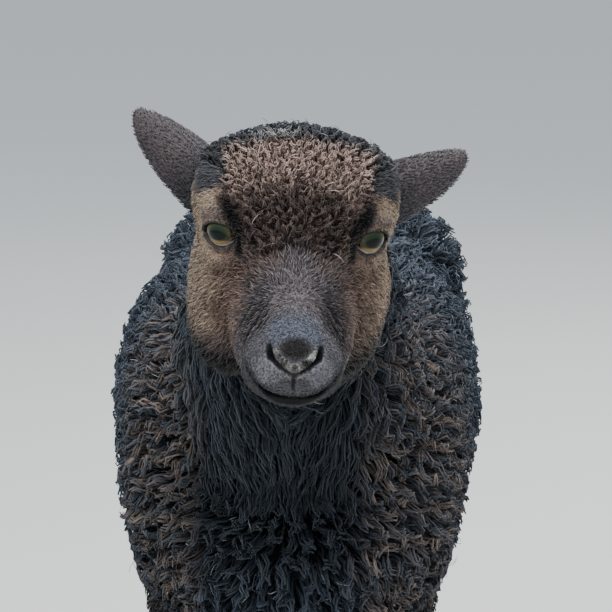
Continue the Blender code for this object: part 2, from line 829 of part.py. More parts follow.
def make_claw(name, joints, side, drift, inner):
    """One of the two hooves of a foot, with a flat sole on the floor."""
    point, down = coronet(side, joints, drift)
    offset = side * inner * (CLAW_HALF_WIDTH + CLAW_GAP / 2)
    shape = bmesh.new()
    height = CORONET_HEIGHT * 1.6
    bmesh.ops.create_cone(
        shape,
        cap_ends=True,
        segments=16,
        radius1=1.0,
        radius2=CLAW_TOP_SCALE,
        depth=height,
        matrix=Matrix.Translation((0.0, 0.0, height / 2)),
    )
    for vertex in shape.verts:
        share = vertex.co.z / height
        taper = 1.0 - 0.30 * max(0.0, -vertex.co.y)
        vertex.co.x *= CLAW_HALF_WIDTH * taper
        vertex.co.x += -side * inner * 0.0010 * max(0.0, -vertex.co.y)
        vertex.co.y = vertex.co.y * CLAW_HALF_LENGTH - 0.006 + 0.011 * share
    place = Matrix.Translation((point.x + offset, point.y, 0.0))
    bmesh.ops.transform(shape, matrix=place, verts=shape.verts)
    claw = from_bmesh(name, shape)
    cut_beyond(claw, point, -down)
    return claw


def tail_parts():
    """The short hanging tail, and the few clumps of wool on it."""
    forms = [
        Bar(TAIL_ROOT, TAIL_BEND, TAIL_RADIUS * 0.9, TAIL_RADIUS),
        Bar(TAIL_BEND, TAIL_TIP, TAIL_RADIUS, TAIL_RADIUS * 0.45),
    ]

    def surface(points):
        return blended(points, forms, 0.003) + 0.003

    tail = wrap("tail", [(forms, Matrix())], surface, 0.004)
    wool = clumps(tail, TAIL_CLUMPS, 0.001, lambda point: True, 14, CURL_SIDES, CURL_RINGS)
    thin(tail, TAIL_TRIANGLES)
    return tail, wool


def give_material(obj, kind):
    """A plain material of one of the lamb's colours."""
    material = bpy.data.materials.get(kind)
    if material is None:
        material = bpy.data.materials.new(kind)
        material.use_nodes = True
        colour, roughness = COLOURS[kind]
        shader = material.node_tree.nodes["Principled BSDF"]
        shader.inputs["Base Color"].default_value = (*colour, 1.0)
        shader.inputs["Roughness"].default_value = roughness
        shader.inputs["Metallic"].default_value = 0.0
    obj.data.materials.clear()
    obj.data.materials.append(material)


def centre_on_floor():
    """Moves the lamb so that the origin is under the middle of its box."""
    points = np.concatenate([corners(obj.data) for obj in LAMB.objects])
    low, high = points.min(axis=0), points.max(axis=0)
    shift = -(low + high) / 2
    shift[2] = -low[2]
    for obj in LAMB.objects:
        obj.data.transform(Matrix.Translation(shift))


def build():
    """Every node of the lamb."""
    body = woolly_body()
    tail, tail_wool = tail_parts()
    for side, word in ((1, "left"), (-1, "right")):
        for name, joints, drift, cut in (
            ("foreleg", FORELEG, SHOULDER_DRIFT, KNEE_CUT),
            ("hindleg", HINDLEG, RUMP_DRIFT, HOCK_CUT),
        ):
            names = (f"{name}_{word}_upper", f"{name}_{word}_lower")
            upper, lower = make_leg(names, joints, side, drift, cut)
            seat(body, upper)
            give_material(upper, "leg")
            give_material(lower, "leg")
            for inner, place in ((1, "outer"), (-1, "inner")):
                claw = make_claw(f"{name}_{word}_hoof_{place}", joints, side, drift, inner)
                give_material(claw, "hoof")
    neck = copy_of(body, "neck")
    neck_way = Vector(NECK_TOP) - Vector(NECK_ROOT)
    cut_beyond(body, NECK_CUT, neck_way)
    cut_beyond(neck, NECK_CUT, -neck_way)
    point, back = head_cut()
    cut_beyond(neck, point, -back)
    seat(body, tail, *tail_wool)
    combine(tail, tail_wool, "UNION")
    head = make_head()
    for side, word in ((1, "left"), (-1, "right")):
        eye = eye_ball(f"eye_{word}", side)
        seat(head, eye)
        give_material(eye, "eye")
    ears = [ear_parts("ear_left", 1, EAR_LEFT_WAY), ear_parts("ear_right", -1, EAR_RIGHT_WAY)]
    for neighbour in (head, neck):
        seat(neighbour, *(part for parts in ears for part in parts))
    for ear, bulb in ears:
        combine(ear, [bulb], "UNION")
        give_material(ear, "ear")
    for obj, kind in ((body, "fleece"), (neck, "fleece"), (tail, "fleece"), (head, "face")):
        give_material(obj, kind)
    centre_on_floor()
    for obj in LAMB.objects:
        obj.data.shade_smooth()
        obj.data.set_sharp_from_angle(angle=math.radians(40.0))


for old in list(bpy.data.objects):
    bpy.data.objects.remove(old)
LAMB = bpy.data.collections.new("lamb")
bpy.context.scene.collection.children.link(LAMB)
build()
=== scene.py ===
"""The looks of a young dark lamb: one skin, a coat of locks and hairs, eyes, ears and hooves.

All forms are worked out in the lamb's own place, in metres, with its head where the CAD solids
have it. Each mesh is moved into the frame as its object is made.
"""

from __future__ import annotations

import logging
import math
from dataclasses import dataclass, field
from enum import Enum
from typing import Callable, Sequence

import bmesh
import bpy
import numpy as np
from mathutils import Matrix, Vector
from mathutils.kdtree import KDTree


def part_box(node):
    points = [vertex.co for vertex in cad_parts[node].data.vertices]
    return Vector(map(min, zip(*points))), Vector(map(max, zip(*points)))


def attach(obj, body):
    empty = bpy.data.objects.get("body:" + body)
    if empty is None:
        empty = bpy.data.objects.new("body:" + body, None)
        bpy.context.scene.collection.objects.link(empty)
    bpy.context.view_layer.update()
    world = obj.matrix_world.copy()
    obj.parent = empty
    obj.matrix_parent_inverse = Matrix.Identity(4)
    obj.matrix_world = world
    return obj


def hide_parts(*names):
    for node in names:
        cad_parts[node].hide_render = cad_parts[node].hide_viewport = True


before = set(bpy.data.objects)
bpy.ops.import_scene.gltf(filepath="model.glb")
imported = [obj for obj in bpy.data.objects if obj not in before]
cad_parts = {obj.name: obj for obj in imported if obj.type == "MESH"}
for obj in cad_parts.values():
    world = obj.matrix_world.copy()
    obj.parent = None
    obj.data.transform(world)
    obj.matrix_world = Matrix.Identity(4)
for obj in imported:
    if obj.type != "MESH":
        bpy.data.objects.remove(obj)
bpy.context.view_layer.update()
LOG = logging.getLogger("lamb")
Triple = tuple[float, float, float]
Measure = Callable[[np.ndarray], np.ndarray]
Socket = bpy.types.NodeSocket
Inputs = dict[str | int, float | tuple[float, ...] | Socket]
TINY = 1e-9
GRADIENT_REACH = 2e-4
ROOT_DEPTH = 0.0003
MIRRORED = (1, -1)


class Slot(Enum):
    """The record's material slots."""

    FLEECE = "fleece"
    FACE = "face"
    EAR = "ear"
    LEG = "leg"
    EYE = "eye"
    HOOF = "hoof"


class Side(Enum):
    """The lamb's own sides, as a sign along X."""

    LEFT = 1
    RIGHT = -1

    @property
    def word(self) -> str:
        """The side's word in the names of nodes and pieces."""
        return self.name.lower()


@dataclass(frozen=True)
class Ball:
    """A ball or an ellipsoid."""

    centre: Triple
    radii: Triple

    def distance(self, points: np.ndarray) -> np.ndarray:
        """Rough distance to its surface.

        Args:
            points: Places, as rows.

        Returns:
            A distance for each place, negative inside.
        """
        local = points - np.array(self.centre)
        radii = np.array(self.radii)
        share = np.linalg.norm(local / radii, axis=1)
        slope = np.linalg.norm(local / radii**2, axis=1)
        return share * (share - 1.0) / np.maximum(slope, TINY)

    def mirrored(self) -> Ball:
        """Its mirror image in the plane x = 0."""
        return Ball((-self.centre[0], *self.centre[1:]), self.radii)

    def moved(self, sideways: float) -> Ball:
        """A copy moved sideways."""
        return Ball((self.centre[0] + sideways, *self.centre[1:]), self.radii)


@dataclass(frozen=True)
class Bar:
    """A round bar with a taper and round ends."""

    start: Triple
    end: Triple
    start_radius: float
    end_radius: float

    def distance(self, points: np.ndarray) -> np.ndarray:
        """Distance to its surface.

        Args:
            points: Places, as rows.

        Returns:
            A distance for each place, negative inside.
        """
        start = np.array(self.start)
        line = np.array(self.end) - start
        length = line @ line
        taper = self.start_radius - self.end_radius
        cone = length - taper**2
        local = points - start
        along = local @ line
        beyond = along - length
        across = ((local * length - np.outer(along, line)) ** 2).sum(axis=1)
        before, after = along**2 * length, beyond**2 * length
        limit = np.sign(taper) * taper**2 * across
        away = (np.sqrt(across * cone / length) + along * taper) / length - self.start_radius
        at_start = np.sign(along) * cone * before < limit
        at_end = np.sign(beyond) * cone * after > limit
        away = np.where(at_start, np.sqrt(across + before) / length - self.start_radius, away)
        return np.where(at_end, np.sqrt(across + after) / length - self.end_radius, away)

    def mirrored(self) -> Bar:
        """Its mirror image in the plane x = 0."""
        start, end = (-self.start[0], *self.start[1:]), (-self.end[0], *self.end[1:])
        return Bar(start, end, self.start_radius, self.end_radius)


Form = Ball | Bar


def both_sides(forms: Sequence[Form]) -> list[Form]:
    """The forms with their mirror images."""
    return [*forms, *(form.mirrored() for form in forms)]


def blended(points: np.ndarray, forms: Sequence[Form], blend: float) -> np.ndarray:
    """Distance to some forms together.

    Args:
        points: Places, as rows.
        forms: Balls and bars.
        blend: The length over which the creases between them are filled.

    Returns:
        A distance for each place, negative inside.
    """
    total = np.zeros(len(points))
    for form in forms:
        total += np.exp(-form.distance(points) / blend)
    return -blend * np.log(np.maximum(total, 1e-300))


def joined(first: np.ndarray, second: np.ndarray, blend: float) -> np.ndarray:
    """Two distances as one, with the crease between them filled."""
    return -blend * np.logaddexp(-first / blend, -second / blend)


def carved(first: np.ndarray, second: np.ndarray, blend: float) -> np.ndarray:
    """The first distance with the second taken away from it."""
    return blend * np.logaddexp(first / blend, -second / blend)


def ramp(values: np.ndarray, low: float, high: float) -> np.ndarray:
    """A smooth step from 0 at low to 1 at high, which may lie below low."""
    share = np.clip((values - low) / (high - low), 0.0, 1.0)
    return share * share * (3.0 - 2.0 * share)


def unit(vectors: np.ndarray) -> np.ndarray:
    """Vectors of length 1."""
    return vectors / np.maximum(np.linalg.norm(vectors, axis=-1, keepdims=True), TINY)


def flattened(vectors: np.ndarray, normals: np.ndarray) -> np.ndarray:
    """The directions of vectors along a surface with those normals."""
    return unit(vectors - normals * (vectors * normals).sum(axis=1, keepdims=True))


def folded(local: np.ndarray) -> np.ndarray:
    """Places with those of the right side moved to their mirror images on the left."""
    return np.stack([np.abs(local[:, 0]), local[:, 1], local[:, 2]], axis=1)


def gradient(points: np.ndarray, distance: Measure) -> np.ndarray:
    """The slope of a distance.

    Args:
        points: Places, as rows.
        distance: What gives the distance at places.

    Returns:
        The slope at each place, as rows.
    """
    reach = GRADIENT_REACH
    columns = [
        (distance(points + axis * reach) - distance(points - axis * reach)) / (2 * reach)
        for axis in np.eye(3)
    ]
    return np.stack(columns, axis=1)


@dataclass
class LambForm:
    """The flesh of the lamb as distances: the coat's outer surface and the skin under it."""

    head_origin: Triple = (0.0, -0.335, 0.487)
    head_pitch: float = 26.5
    head_roll: float = 3.3
    head_yaw: float = 2.0
    cut_place: Triple = (0.0, 0.040, -0.030)
    cut_lean: float = -25.0
    skull_blend: float = 0.0045
    trunk_blend: float = 0.010
    neck_blend: float = 0.009
    tail_blend: float = 0.003
    leg_blend: float = 0.0022
    groove_blend: float = 0.0006
    rim_blend: float = 0.0008
    hem_blend: float = 0.008
    eye_out: float = 0.0368
    eye_back: float = 0.0065
    eye_lift: float = 0.0020
    cad_eye_lift: float = 0.0030
    eye_radius: float = 0.0125
    gaze_out: float = 31.0
    gaze_up: float = 7.0
    orbit_reach: float = 0.0085
    orbit_radius: float = 0.0125
    lid_thickness: float = 0.0018
    lid_reach: float = 0.008
    whorl: Triple = (0.0, -0.0550, 0.0060)
    lid_length: float = 0.0112
    lid_height: float = 0.0068
    lid_drop: float = 0.0005
    lid_tilt: float = 13.0
    mouth_front: float = -0.0920
    mouth_corner: float = -0.0845
    mouth_height: float = -0.0338
    mouth_curve: float = 21.0
    mouth_fall: float = 0.12
    mouth_half_width: float = 0.0255
    mouth_half_gap: float = 0.0008
    mouth_depth: float = 0.0030
    fleece_depth: float = 0.0205
    poll_depth: float = 0.0055
    cheek_depth: float = 0.0036
    muzzle_depth: float = 0.0008
    leg_depth: float = 0.0020
    tail_depth: float = 0.0100
    shoulder_drift: float = -0.003
    rump_drift: float = 0.010
    cheek_drift: float = -0.003
    coronet_height: float = 0.0230
    coronet_slope: float = 12.0
    pastern_height: float = 0.06
    forefoot: float = -0.133
    hindfoot: float = 0.184
    mid_length: float = 0.03
    shift: np.ndarray = field(default_factory=lambda: np.zeros(3))

    def __post_init__(self) -> None:
        """Works out the head's turn and the forms, and finds the lamb's place in the frame."""
        turns = [
            np.array(Matrix.Rotation(math.radians(angle), 3, axis))
            for angle, axis in ((self.head_yaw, "Z"), (self.head_roll, "Y"), (self.head_pitch, "X"))
        ]
        self.turn = turns[0] @ turns[1] @ turns[2]
        lean = math.radians(self.cut_lean)
        self.cut_point = self.from_head(np.array([self.cut_place]))[0]
        self.cut_way = self.turn @ np.array((0.0, math.cos(lean), math.sin(lean)))
        self.skull = self.skull_forms()
        self.trunk = self.trunk_forms()
        self.tail = [
            Bar((0.012, 0.238, 0.398), (0.013, 0.264, 0.372), 0.0171, 0.019),
            Bar((0.013, 0.264, 0.372), (0.014, 0.268, 0.288), 0.019, 0.0086),
        ]
        self.legs = self.leg_forms()
        middle = np.zeros(3)
        for side in ("left", "right"):
            middle += np.mean([tuple(corner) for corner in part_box(f"eye_{side}")], axis=0) / 2
        eyes = self.from_head(np.array([[0.0, self.eye_back, self.cad_eye_lift]]))[0]
        self.shift = middle - eyes

    def from_head(self, local: np.ndarray) -> np.ndarray:
        """Points given in the head's axes, in the lamb's."""
        return np.array(self.head_origin) + local @ self.turn.T

    def to_head(self, points: np.ndarray) -> np.ndarray:
        """Points of the lamb in the head's own axes."""
        return (points - np.array(self.head_origin)) @ self.turn

    def gaze(self, side: int) -> np.ndarray:
        """The way an eye looks.

        Args:
            side: 1 for the lamb's left eye and -1 for its right one.

        Returns:
            A vector of length 1 in the head's axes.
        """
        turn, lift = math.radians(self.gaze_out), math.radians(self.gaze_up)
        out, ahead = math.sin(turn) * math.cos(lift), -math.cos(turn) * math.cos(lift)
        return np.array((side * out, ahead, math.sin(lift)))

    def eye_centre(self, side: int) -> np.ndarray:
        """The middle of an eyeball, in the head's axes."""
        return np.array((side * self.eye_out, self.eye_back, self.eye_lift))

    def eye_axes(self, side: int) -> np.ndarray:
        """The axes of an eye.

        Args:
            side: 1 for the lamb's left eye and -1 for its right one.

        Returns:
            Rows in the head's axes: the gaze, the way across the lids and the way up them.
        """
        look = self.gaze(side)
        across = np.cross(look, (0.0, 0.0, 1.0))
        across /= np.linalg.norm(across)
        rise = np.cross(across, look)
        tilt = side * math.radians(self.lid_tilt)
        turned = across * math.cos(tilt) + rise * math.sin(tilt)
        return np.array([look, turned, np.cross(turned, look)])

    def skull_forms(self) -> list[Form]:
        """Skull, brow, cheeks, bridge of the nose, muzzle, lips and jaw.

        Returns:
            Balls and bars in the head's axes.
        """
        middle: list[Form] = [
            Ball((0.0, 0.036, 0.002), (0.052, 0.050, 0.038)),
            Ball((0.0, 0.004, 0.006), (0.038, 0.034, 0.022)),
            Bar((0.0, 0.002, -0.008), (0.0, -0.072, -0.018), 0.0290, 0.0180),
            Ball((0.0, -0.0830, -0.0185), (0.0235, 0.0165, 0.0160)),
            Ball((0.0, -0.0765, -0.0408), (0.0150, 0.0135, 0.0090)),
            Bar((0.0, 0.012, -0.044), (0.0, -0.062, -0.036), 0.0300, 0.0140),
        ]
        sides: list[Form] = [
            Ball((0.0330, 0.0110, 0.0130), (0.0150, 0.0130, 0.0070)),
            Ball((0.0380, 0.036, 0.000), (0.0185, 0.024, 0.026)),
            Ball((0.0310, 0.034, 0.011), (0.0230, 0.032, 0.021)),
            Ball((0.0165, -0.026, -0.032), (0.0190, 0.052, 0.0235)),
            Ball((0.0120, -0.0840, -0.0285), (0.0130, 0.0125, 0.0105)),
        ]
        cheeks = both_sides(
            [
                Ball((0.0310, 0.014, -0.036), (0.0235, 0.036, 0.038)),
                Ball((0.0290, 0.002, -0.060), (0.0240, 0.034, 0.0255)),
            ]
        )
        return middle + both_sides(sides) + [form.moved(self.cheek_drift) for form in cheeks]

    def trunk_forms(self) -> list[Form]:
        """Barrel, ribs, chest, shoulders, withers, loin, rump, hips, thighs and neck.

        Returns:
            Balls and a bar.
        """
        drift = self.rump_drift
        middle: list[Form] = [
            Ball((0.0, 0.0, 0.328), (0.118, 0.195, 0.110)),
            Ball((0.0, -0.145, 0.285), (0.082, 0.080, 0.084)),
            Ball((0.0, -0.095, 0.388), (0.056, 0.095, 0.054)),
            Ball((drift / 2, 0.070, 0.384), (0.078, 0.140, 0.058)),
            Ball((drift, 0.162, 0.348), (0.108, 0.088, 0.092)),
            Bar((0.0, -0.125, 0.340), (0.0, -0.262, 0.452), 0.084, 0.056),
        ]
        ribs = both_sides([Ball((0.046, -0.015, 0.368), (0.058, 0.130, 0.052))])
        shoulders = both_sides([Ball((0.058, -0.105, 0.302), (0.046, 0.068, 0.104))])
        hind = both_sides(
            [
                Ball((0.052, 0.140, 0.392), (0.050, 0.070, 0.046)),
                Ball((0.062, 0.158, 0.282), (0.045, 0.074, 0.082)),
            ]
        )
        moved = [form.moved(self.shoulder_drift) for form in shoulders]
        return middle + ribs + moved + [form.moved(drift) for form in hind]

    def leg_forms(self) -> list[list[Form]]:
        """The bars of each leg, from the shoulder or hip to the foot, with its dewclaws.

        Returns:
            A list for each leg: forelegs, then hindlegs, left before right.
        """
        fore = (
            (0.060, -0.112, 0.255, 0.0360),
            (0.058, -0.114, 0.222, 0.0305),
            (0.053, -0.124, 0.152, 0.0190),
            (0.052, -0.126, 0.137, 0.0182),
            (0.051, -0.121, 0.118, 0.0142),
            (0.050, -0.121, 0.064, 0.0124),
            (0.050, -0.122, 0.048, 0.0152),
            (0.050, -0.133, 0.018, 0.0148),
        )
        hind = (
            (0.062, 0.150, 0.262, 0.0420),
            (0.060, 0.148, 0.228, 0.0370),
            (0.056, 0.202, 0.164, 0.0205),
            (0.055, 0.214, 0.148, 0.0196),
            (0.054, 0.209, 0.126, 0.0152),
            (0.053, 0.199, 0.066, 0.0130),
            (0.053, 0.196, 0.049, 0.0156),
            (0.053, 0.184, 0.018, 0.0150),
        )
        legs = []
        for joints, drift in ((fore, self.shoulder_drift), (hind, self.rump_drift)):
            for side in Side:
                points = [(side.value * out + drift, y, z) for out, y, z, _ in joints]
                bars: list[Form] = [
                    Bar(start, end, upper[3], lower[3])
                    for start, end, upper, lower in zip(points, points[1:], joints, joints[1:])
                ]
                x, y, z = points[-2]
                back = joints[-2][3]
                for claw in (-0.0076, 0.0076):
                    top = (x + claw, y + back * 0.80, z - 0.004)
                    tip = (x + claw, y + back * 1.05, z - 0.010)
                    bars.append(Bar(top, tip, 0.0042, 0.0034))
                legs.append(bars)
        return legs

    def lid_openings(self, local: np.ndarray) -> np.ndarray:
        """Distance to the almonds between the lids.

        Args:
            local: Places in the head's axes, as rows.

        Returns:
            A distance for each place, negative between the lids.
        """
        near = np.full(len(local), 2.0)
        radius = (self.lid_length**2 + self.lid_height**2) / (2 * self.lid_height)
        for side in MIRRORED:
            middle = self.eye_centre(side) + self.gaze(side) * self.eye_radius
            ahead, across, rise = ((local - middle) @ self.eye_axes(side).T).T
            rise = rise + self.lid_drop
            arcs = np.hypot(across, np.abs(rise) + radius - self.lid_height) - radius
            near = np.minimum(near, np.maximum(arcs, np.abs(ahead) - self.lid_reach))
        return near

    def nostrils(self) -> list[Form]:
        """The nostrils, the slits that run on from them, and the split of the upper lip.

        Returns:
            Bars in the head's axes.
        """
        side: list[Form] = [
            Bar((0.0146, -0.0882, -0.0052), (0.0130, -0.0935, -0.0096), 0.0018, 0.0017),
            Bar((0.0130, -0.0935, -0.0096), (0.0080, -0.0980, -0.0128), 0.0014, 0.0010),
            Bar((0.0080, -0.0980, -0.0128), (0.0008, -0.1008, -0.0166), 0.0010, 0.0009),
        ]
        split = Bar((0.0, -0.1012, -0.0158), (0.0, -0.0996, -0.0325), 0.0012, 0.0012)
        return both_sides(side) + [split]

    def rims(self) -> list[Form]:
        """The rims between nose and nostrils, for the side where x > 0.

        Returns:
            Bars in the head's axes.
        """
        return [
            Bar((0.0112, -0.0930, -0.0072), (0.0058, -0.0981, -0.0110), 0.0010, 0.0014),
            Bar((0.0058, -0.0981, -0.0110), (0.0000, -0.0998, -0.0130), 0.0014, 0.0015),
        ]

    def lid_fold(self, inner: float = 0.0028) -> Form:
        """The fold over the upper lid where x > 0, with its radius at the inner end."""
        return Bar((0.0490, 0.0060, 0.0104), (0.0390, -0.0026, 0.0172), 0.0030, inner)

    def creases(self) -> list[Form]:
        """The crease beside each brow and the one below the eye's inner corner, where x > 0.

        Returns:
            Bars in the head's axes.
        """
        line = (
            (0.0396, -0.0002, 0.0210),
            (0.0368, -0.0055, 0.0187),
            (0.0318, -0.0155, 0.0112),
            (0.0312, -0.0168, 0.0030),
            (0.0278, -0.0285, -0.0078),
        )
        sizes = (0.0006, 0.0020, 0.0026, 0.0024, 0.0014)
        return [Bar(a, b, p, q) for a, b, p, q in zip(line, line[1:], sizes, sizes[1:])]

    def creased(self, local: np.ndarray) -> np.ndarray:
        """1 in the creases beside the brows, and 0 away from them."""
        near = np.min([bar.distance(folded(local)) for bar in self.creases()], axis=0)
        return ramp(near, 0.0042, 0.0004)

    def mouth_line(self, local: np.ndarray) -> np.ndarray:
        """How high points lie over the line between the lips, which curves up at the sides.

        Args:
            local: Places in the head's axes, as rows.

        Returns:
            A height for each place.
        """
        rise = self.mouth_curve * np.minimum(np.abs(local[:, 0]), self.mouth_half_width) ** 2
        fall = self.mouth_fall * np.maximum(local[:, 1] - self.mouth_front, 0.0)
        return local[:, 2] - self.mouth_height - rise + fall

    def mouth(self, local: np.ndarray, head: np.ndarray) -> np.ndarray:
        """Distance to the thin, shallow slot of the mouth.

        Args:
            local: Places in the head's axes, as rows.
            head: Distance to the head there.

        Returns:
            A distance for each place, negative in the slot.
        """
        gap = np.abs(self.mouth_line(local)) - self.mouth_half_gap
        slot = np.maximum(gap, -head - self.mouth_depth)
        return np.maximum(slot, local[:, 1] - self.mouth_corner)

    def head_distance(self, local: np.ndarray, depth: np.ndarray | float = 0.0) -> np.ndarray:
        """Distance to the head at points in its own axes.

        Args:
            local: Points in the head's axes.
            depth: How deep the skin lies under the coat there.

        Returns:
            The distance, with orbits, lids, nostrils and mouth.
        """
        head = blended(local, self.skull, self.skull_blend) + depth
        for side in MIRRORED:
            orbit = self.eye_centre(side) + self.gaze(side) * self.orbit_reach
            hollow = Ball(tuple(orbit), (self.orbit_radius,) * 3)
            head = carved(head, hollow.distance(local), 0.0022)
            lids = Ball(tuple(self.eye_centre(side)), (self.eye_radius + self.lid_thickness,) * 3)
            head = joined(head, lids.distance(local), 0.0012)
        raised = both_sides([self.lid_fold(), *self.rims()])
        head = joined(head, blended(local, raised, self.rim_blend), 0.0010)
        creases = blended(local, both_sides(self.creases()), self.groove_blend)
        head = carved(head, creases, 0.0012)
        grooves = blended(local, self.nostrils(), self.groove_blend)
        grooves = np.minimum(grooves, self.lid_openings(local))
        grooves = np.minimum(grooves, self.mouth(local, head))
        return carved(head, grooves, self.groove_blend)

    def behind_head(self, points: np.ndarray) -> np.ndarray:
        """How far points lie behind the plane where the face ends and the fleece begins."""
        return (points - self.cut_point) @ self.cut_way

    def forehead(self, local: np.ndarray) -> np.ndarray:
        """1 where the short curls of forehead and poll grow.

        Args:
            local: Places in the head's axes, as rows.

        Returns:
            A share for each place.
        """
        y = local[:, 1]
        half = 0.0400 + 0.55 * np.minimum(y, 0.0) + 0.010 * ramp(y, 0.020, 0.042)
        sides = ramp(np.abs(local[:, 0]), half + 0.003, half - 0.003)
        sides = sides * (1.0 - self.creased(local))
        return sides * ramp(y, -0.031, -0.021) * ramp(local[:, 2], 0.002, 0.010)

    def from_eyes(self, local: np.ndarray) -> np.ndarray:
        """Distance to the middle of the nearer eye."""
        away = [np.linalg.norm(local - self.eye_centre(side), axis=1) for side in MIRRORED]
        return np.minimum(*away)

    def depth(self, points: np.ndarray) -> np.ndarray:
        """How deep the skin lies under the coat of head, neck and trunk.

        Args:
            points: Places, as rows.

        Returns:
            A depth for each place.
        """
        local = self.to_head(points)
        on_cheek = ramp(local[:, 1], -0.075, -0.030)
        face = self.muzzle_depth + (self.cheek_depth - self.muzzle_depth) * on_cheek
        face = face + (self.poll_depth - face) * self.forehead(local)
        face = face * ramp(self.from_eyes(local), 0.0150, 0.0260)
        return face + (self.fleece_depth - face) * ramp(self.behind_head(points), -0.004, 0.034)

    def outer(self, points: np.ndarray) -> np.ndarray:
        """Distance to the outer surface of the coat.

        Args:
            points: Places, as rows.

        Returns:
            A distance for each place, negative inside.
        """
        head = self.head_distance(self.to_head(points))
        body = joined(head, blended(points, self.trunk, self.trunk_blend), self.neck_blend)
        body = joined(body, blended(points, self.tail, self.tail_blend), 0.002)
        return np.minimum(body, self.leg_distance(points))

    def leg_distance(self, points: np.ndarray) -> np.ndarray:
        """Distance to the nearest leg's outer surface."""
        return np.min([blended(points, leg, self.leg_blend) for leg in self.legs], axis=0)

    def skin(self, points: np.ndarray) -> np.ndarray:
        """Distance to the skin, which ends level above each foot's hooves.

        Args:
            points: Places, as rows.

        Returns:
            A distance for each place, negative inside.
        """
        depth = self.depth(points)
        head = self.head_distance(self.to_head(points), depth)
        trunk = blended(points, self.trunk, self.trunk_blend) + depth
        tail = blended(points, self.tail, self.tail_blend) + self.tail_depth
        body = joined(joined(head, trunk, self.neck_blend), tail, 0.004)
        body = joined(body, self.leg_distance(points) + self.leg_depth, self.hem_blend)
        slope = math.radians(self.coronet_slope)
        y, z = points[:, 1], points[:, 2]
        foot = np.where(y < self.mid_length, self.forefoot, self.hindfoot)
        below = (y - foot) * math.sin(slope) - (z - self.coronet_height) * math.cos(slope)
        return np.where(z < self.pastern_height, np.maximum(body, below), body)

    def lie(self, points: np.ndarray, normals: np.ndarray) -> np.ndarray:
        """The way the coat lies.

        Args:
            points: Places, as rows.
            normals: The skin's normals there, as rows.

        Returns:
            Vectors of length 1 along the skin, as rows.
        """
        local = self.to_head(points)
        x, y, z = local.T
        out = np.clip(x / 0.020, -1.0, 1.0)
        cheek = ramp(np.abs(x), 0.024, 0.040) * ramp(y, -0.075, -0.045)
        cheek = np.maximum(cheek, ramp(z, -0.030, -0.050))[:, None]
        away = unit(local - (np.array(self.whorl) - (0.0, 0.0, 0.009)))
        aside = np.stack([out * 0.45, 0.35 + 0.0 * out, -0.85 + 0.0 * out], axis=1)
        in_head = away * (1.0 - cheek) + aside * cheek
        fleece = np.tile((0.0, 0.75, -0.65), (len(points), 1))
        legs = np.tile((0.0, 0.25, -1.0), (len(points), 1))
        back = ramp(self.behind_head(points), -0.004, 0.010)[:, None]
        low = ramp(points[:, 2], 0.24, 0.20)[:, None]
        flow = in_head @ self.turn.T * (1.0 - back) + fleece * back
        return flattened(flow * (1.0 - low) + legs * low, normals)


class Layers:
    """Colours at some places, laid one over the other."""

    def __init__(self, count: int, ground: Triple) -> None:
        """Starts with one colour everywhere."""
        self.colour = np.tile(ground, (count, 1))

    def lay(self, over: Triple, share: np.ndarray) -> None:
        """Lays a colour over what is there, by a share for each place."""
        self.colour += (np.array(over) - self.colour) * np.clip(share, 0.0, 1.0)[:, None]


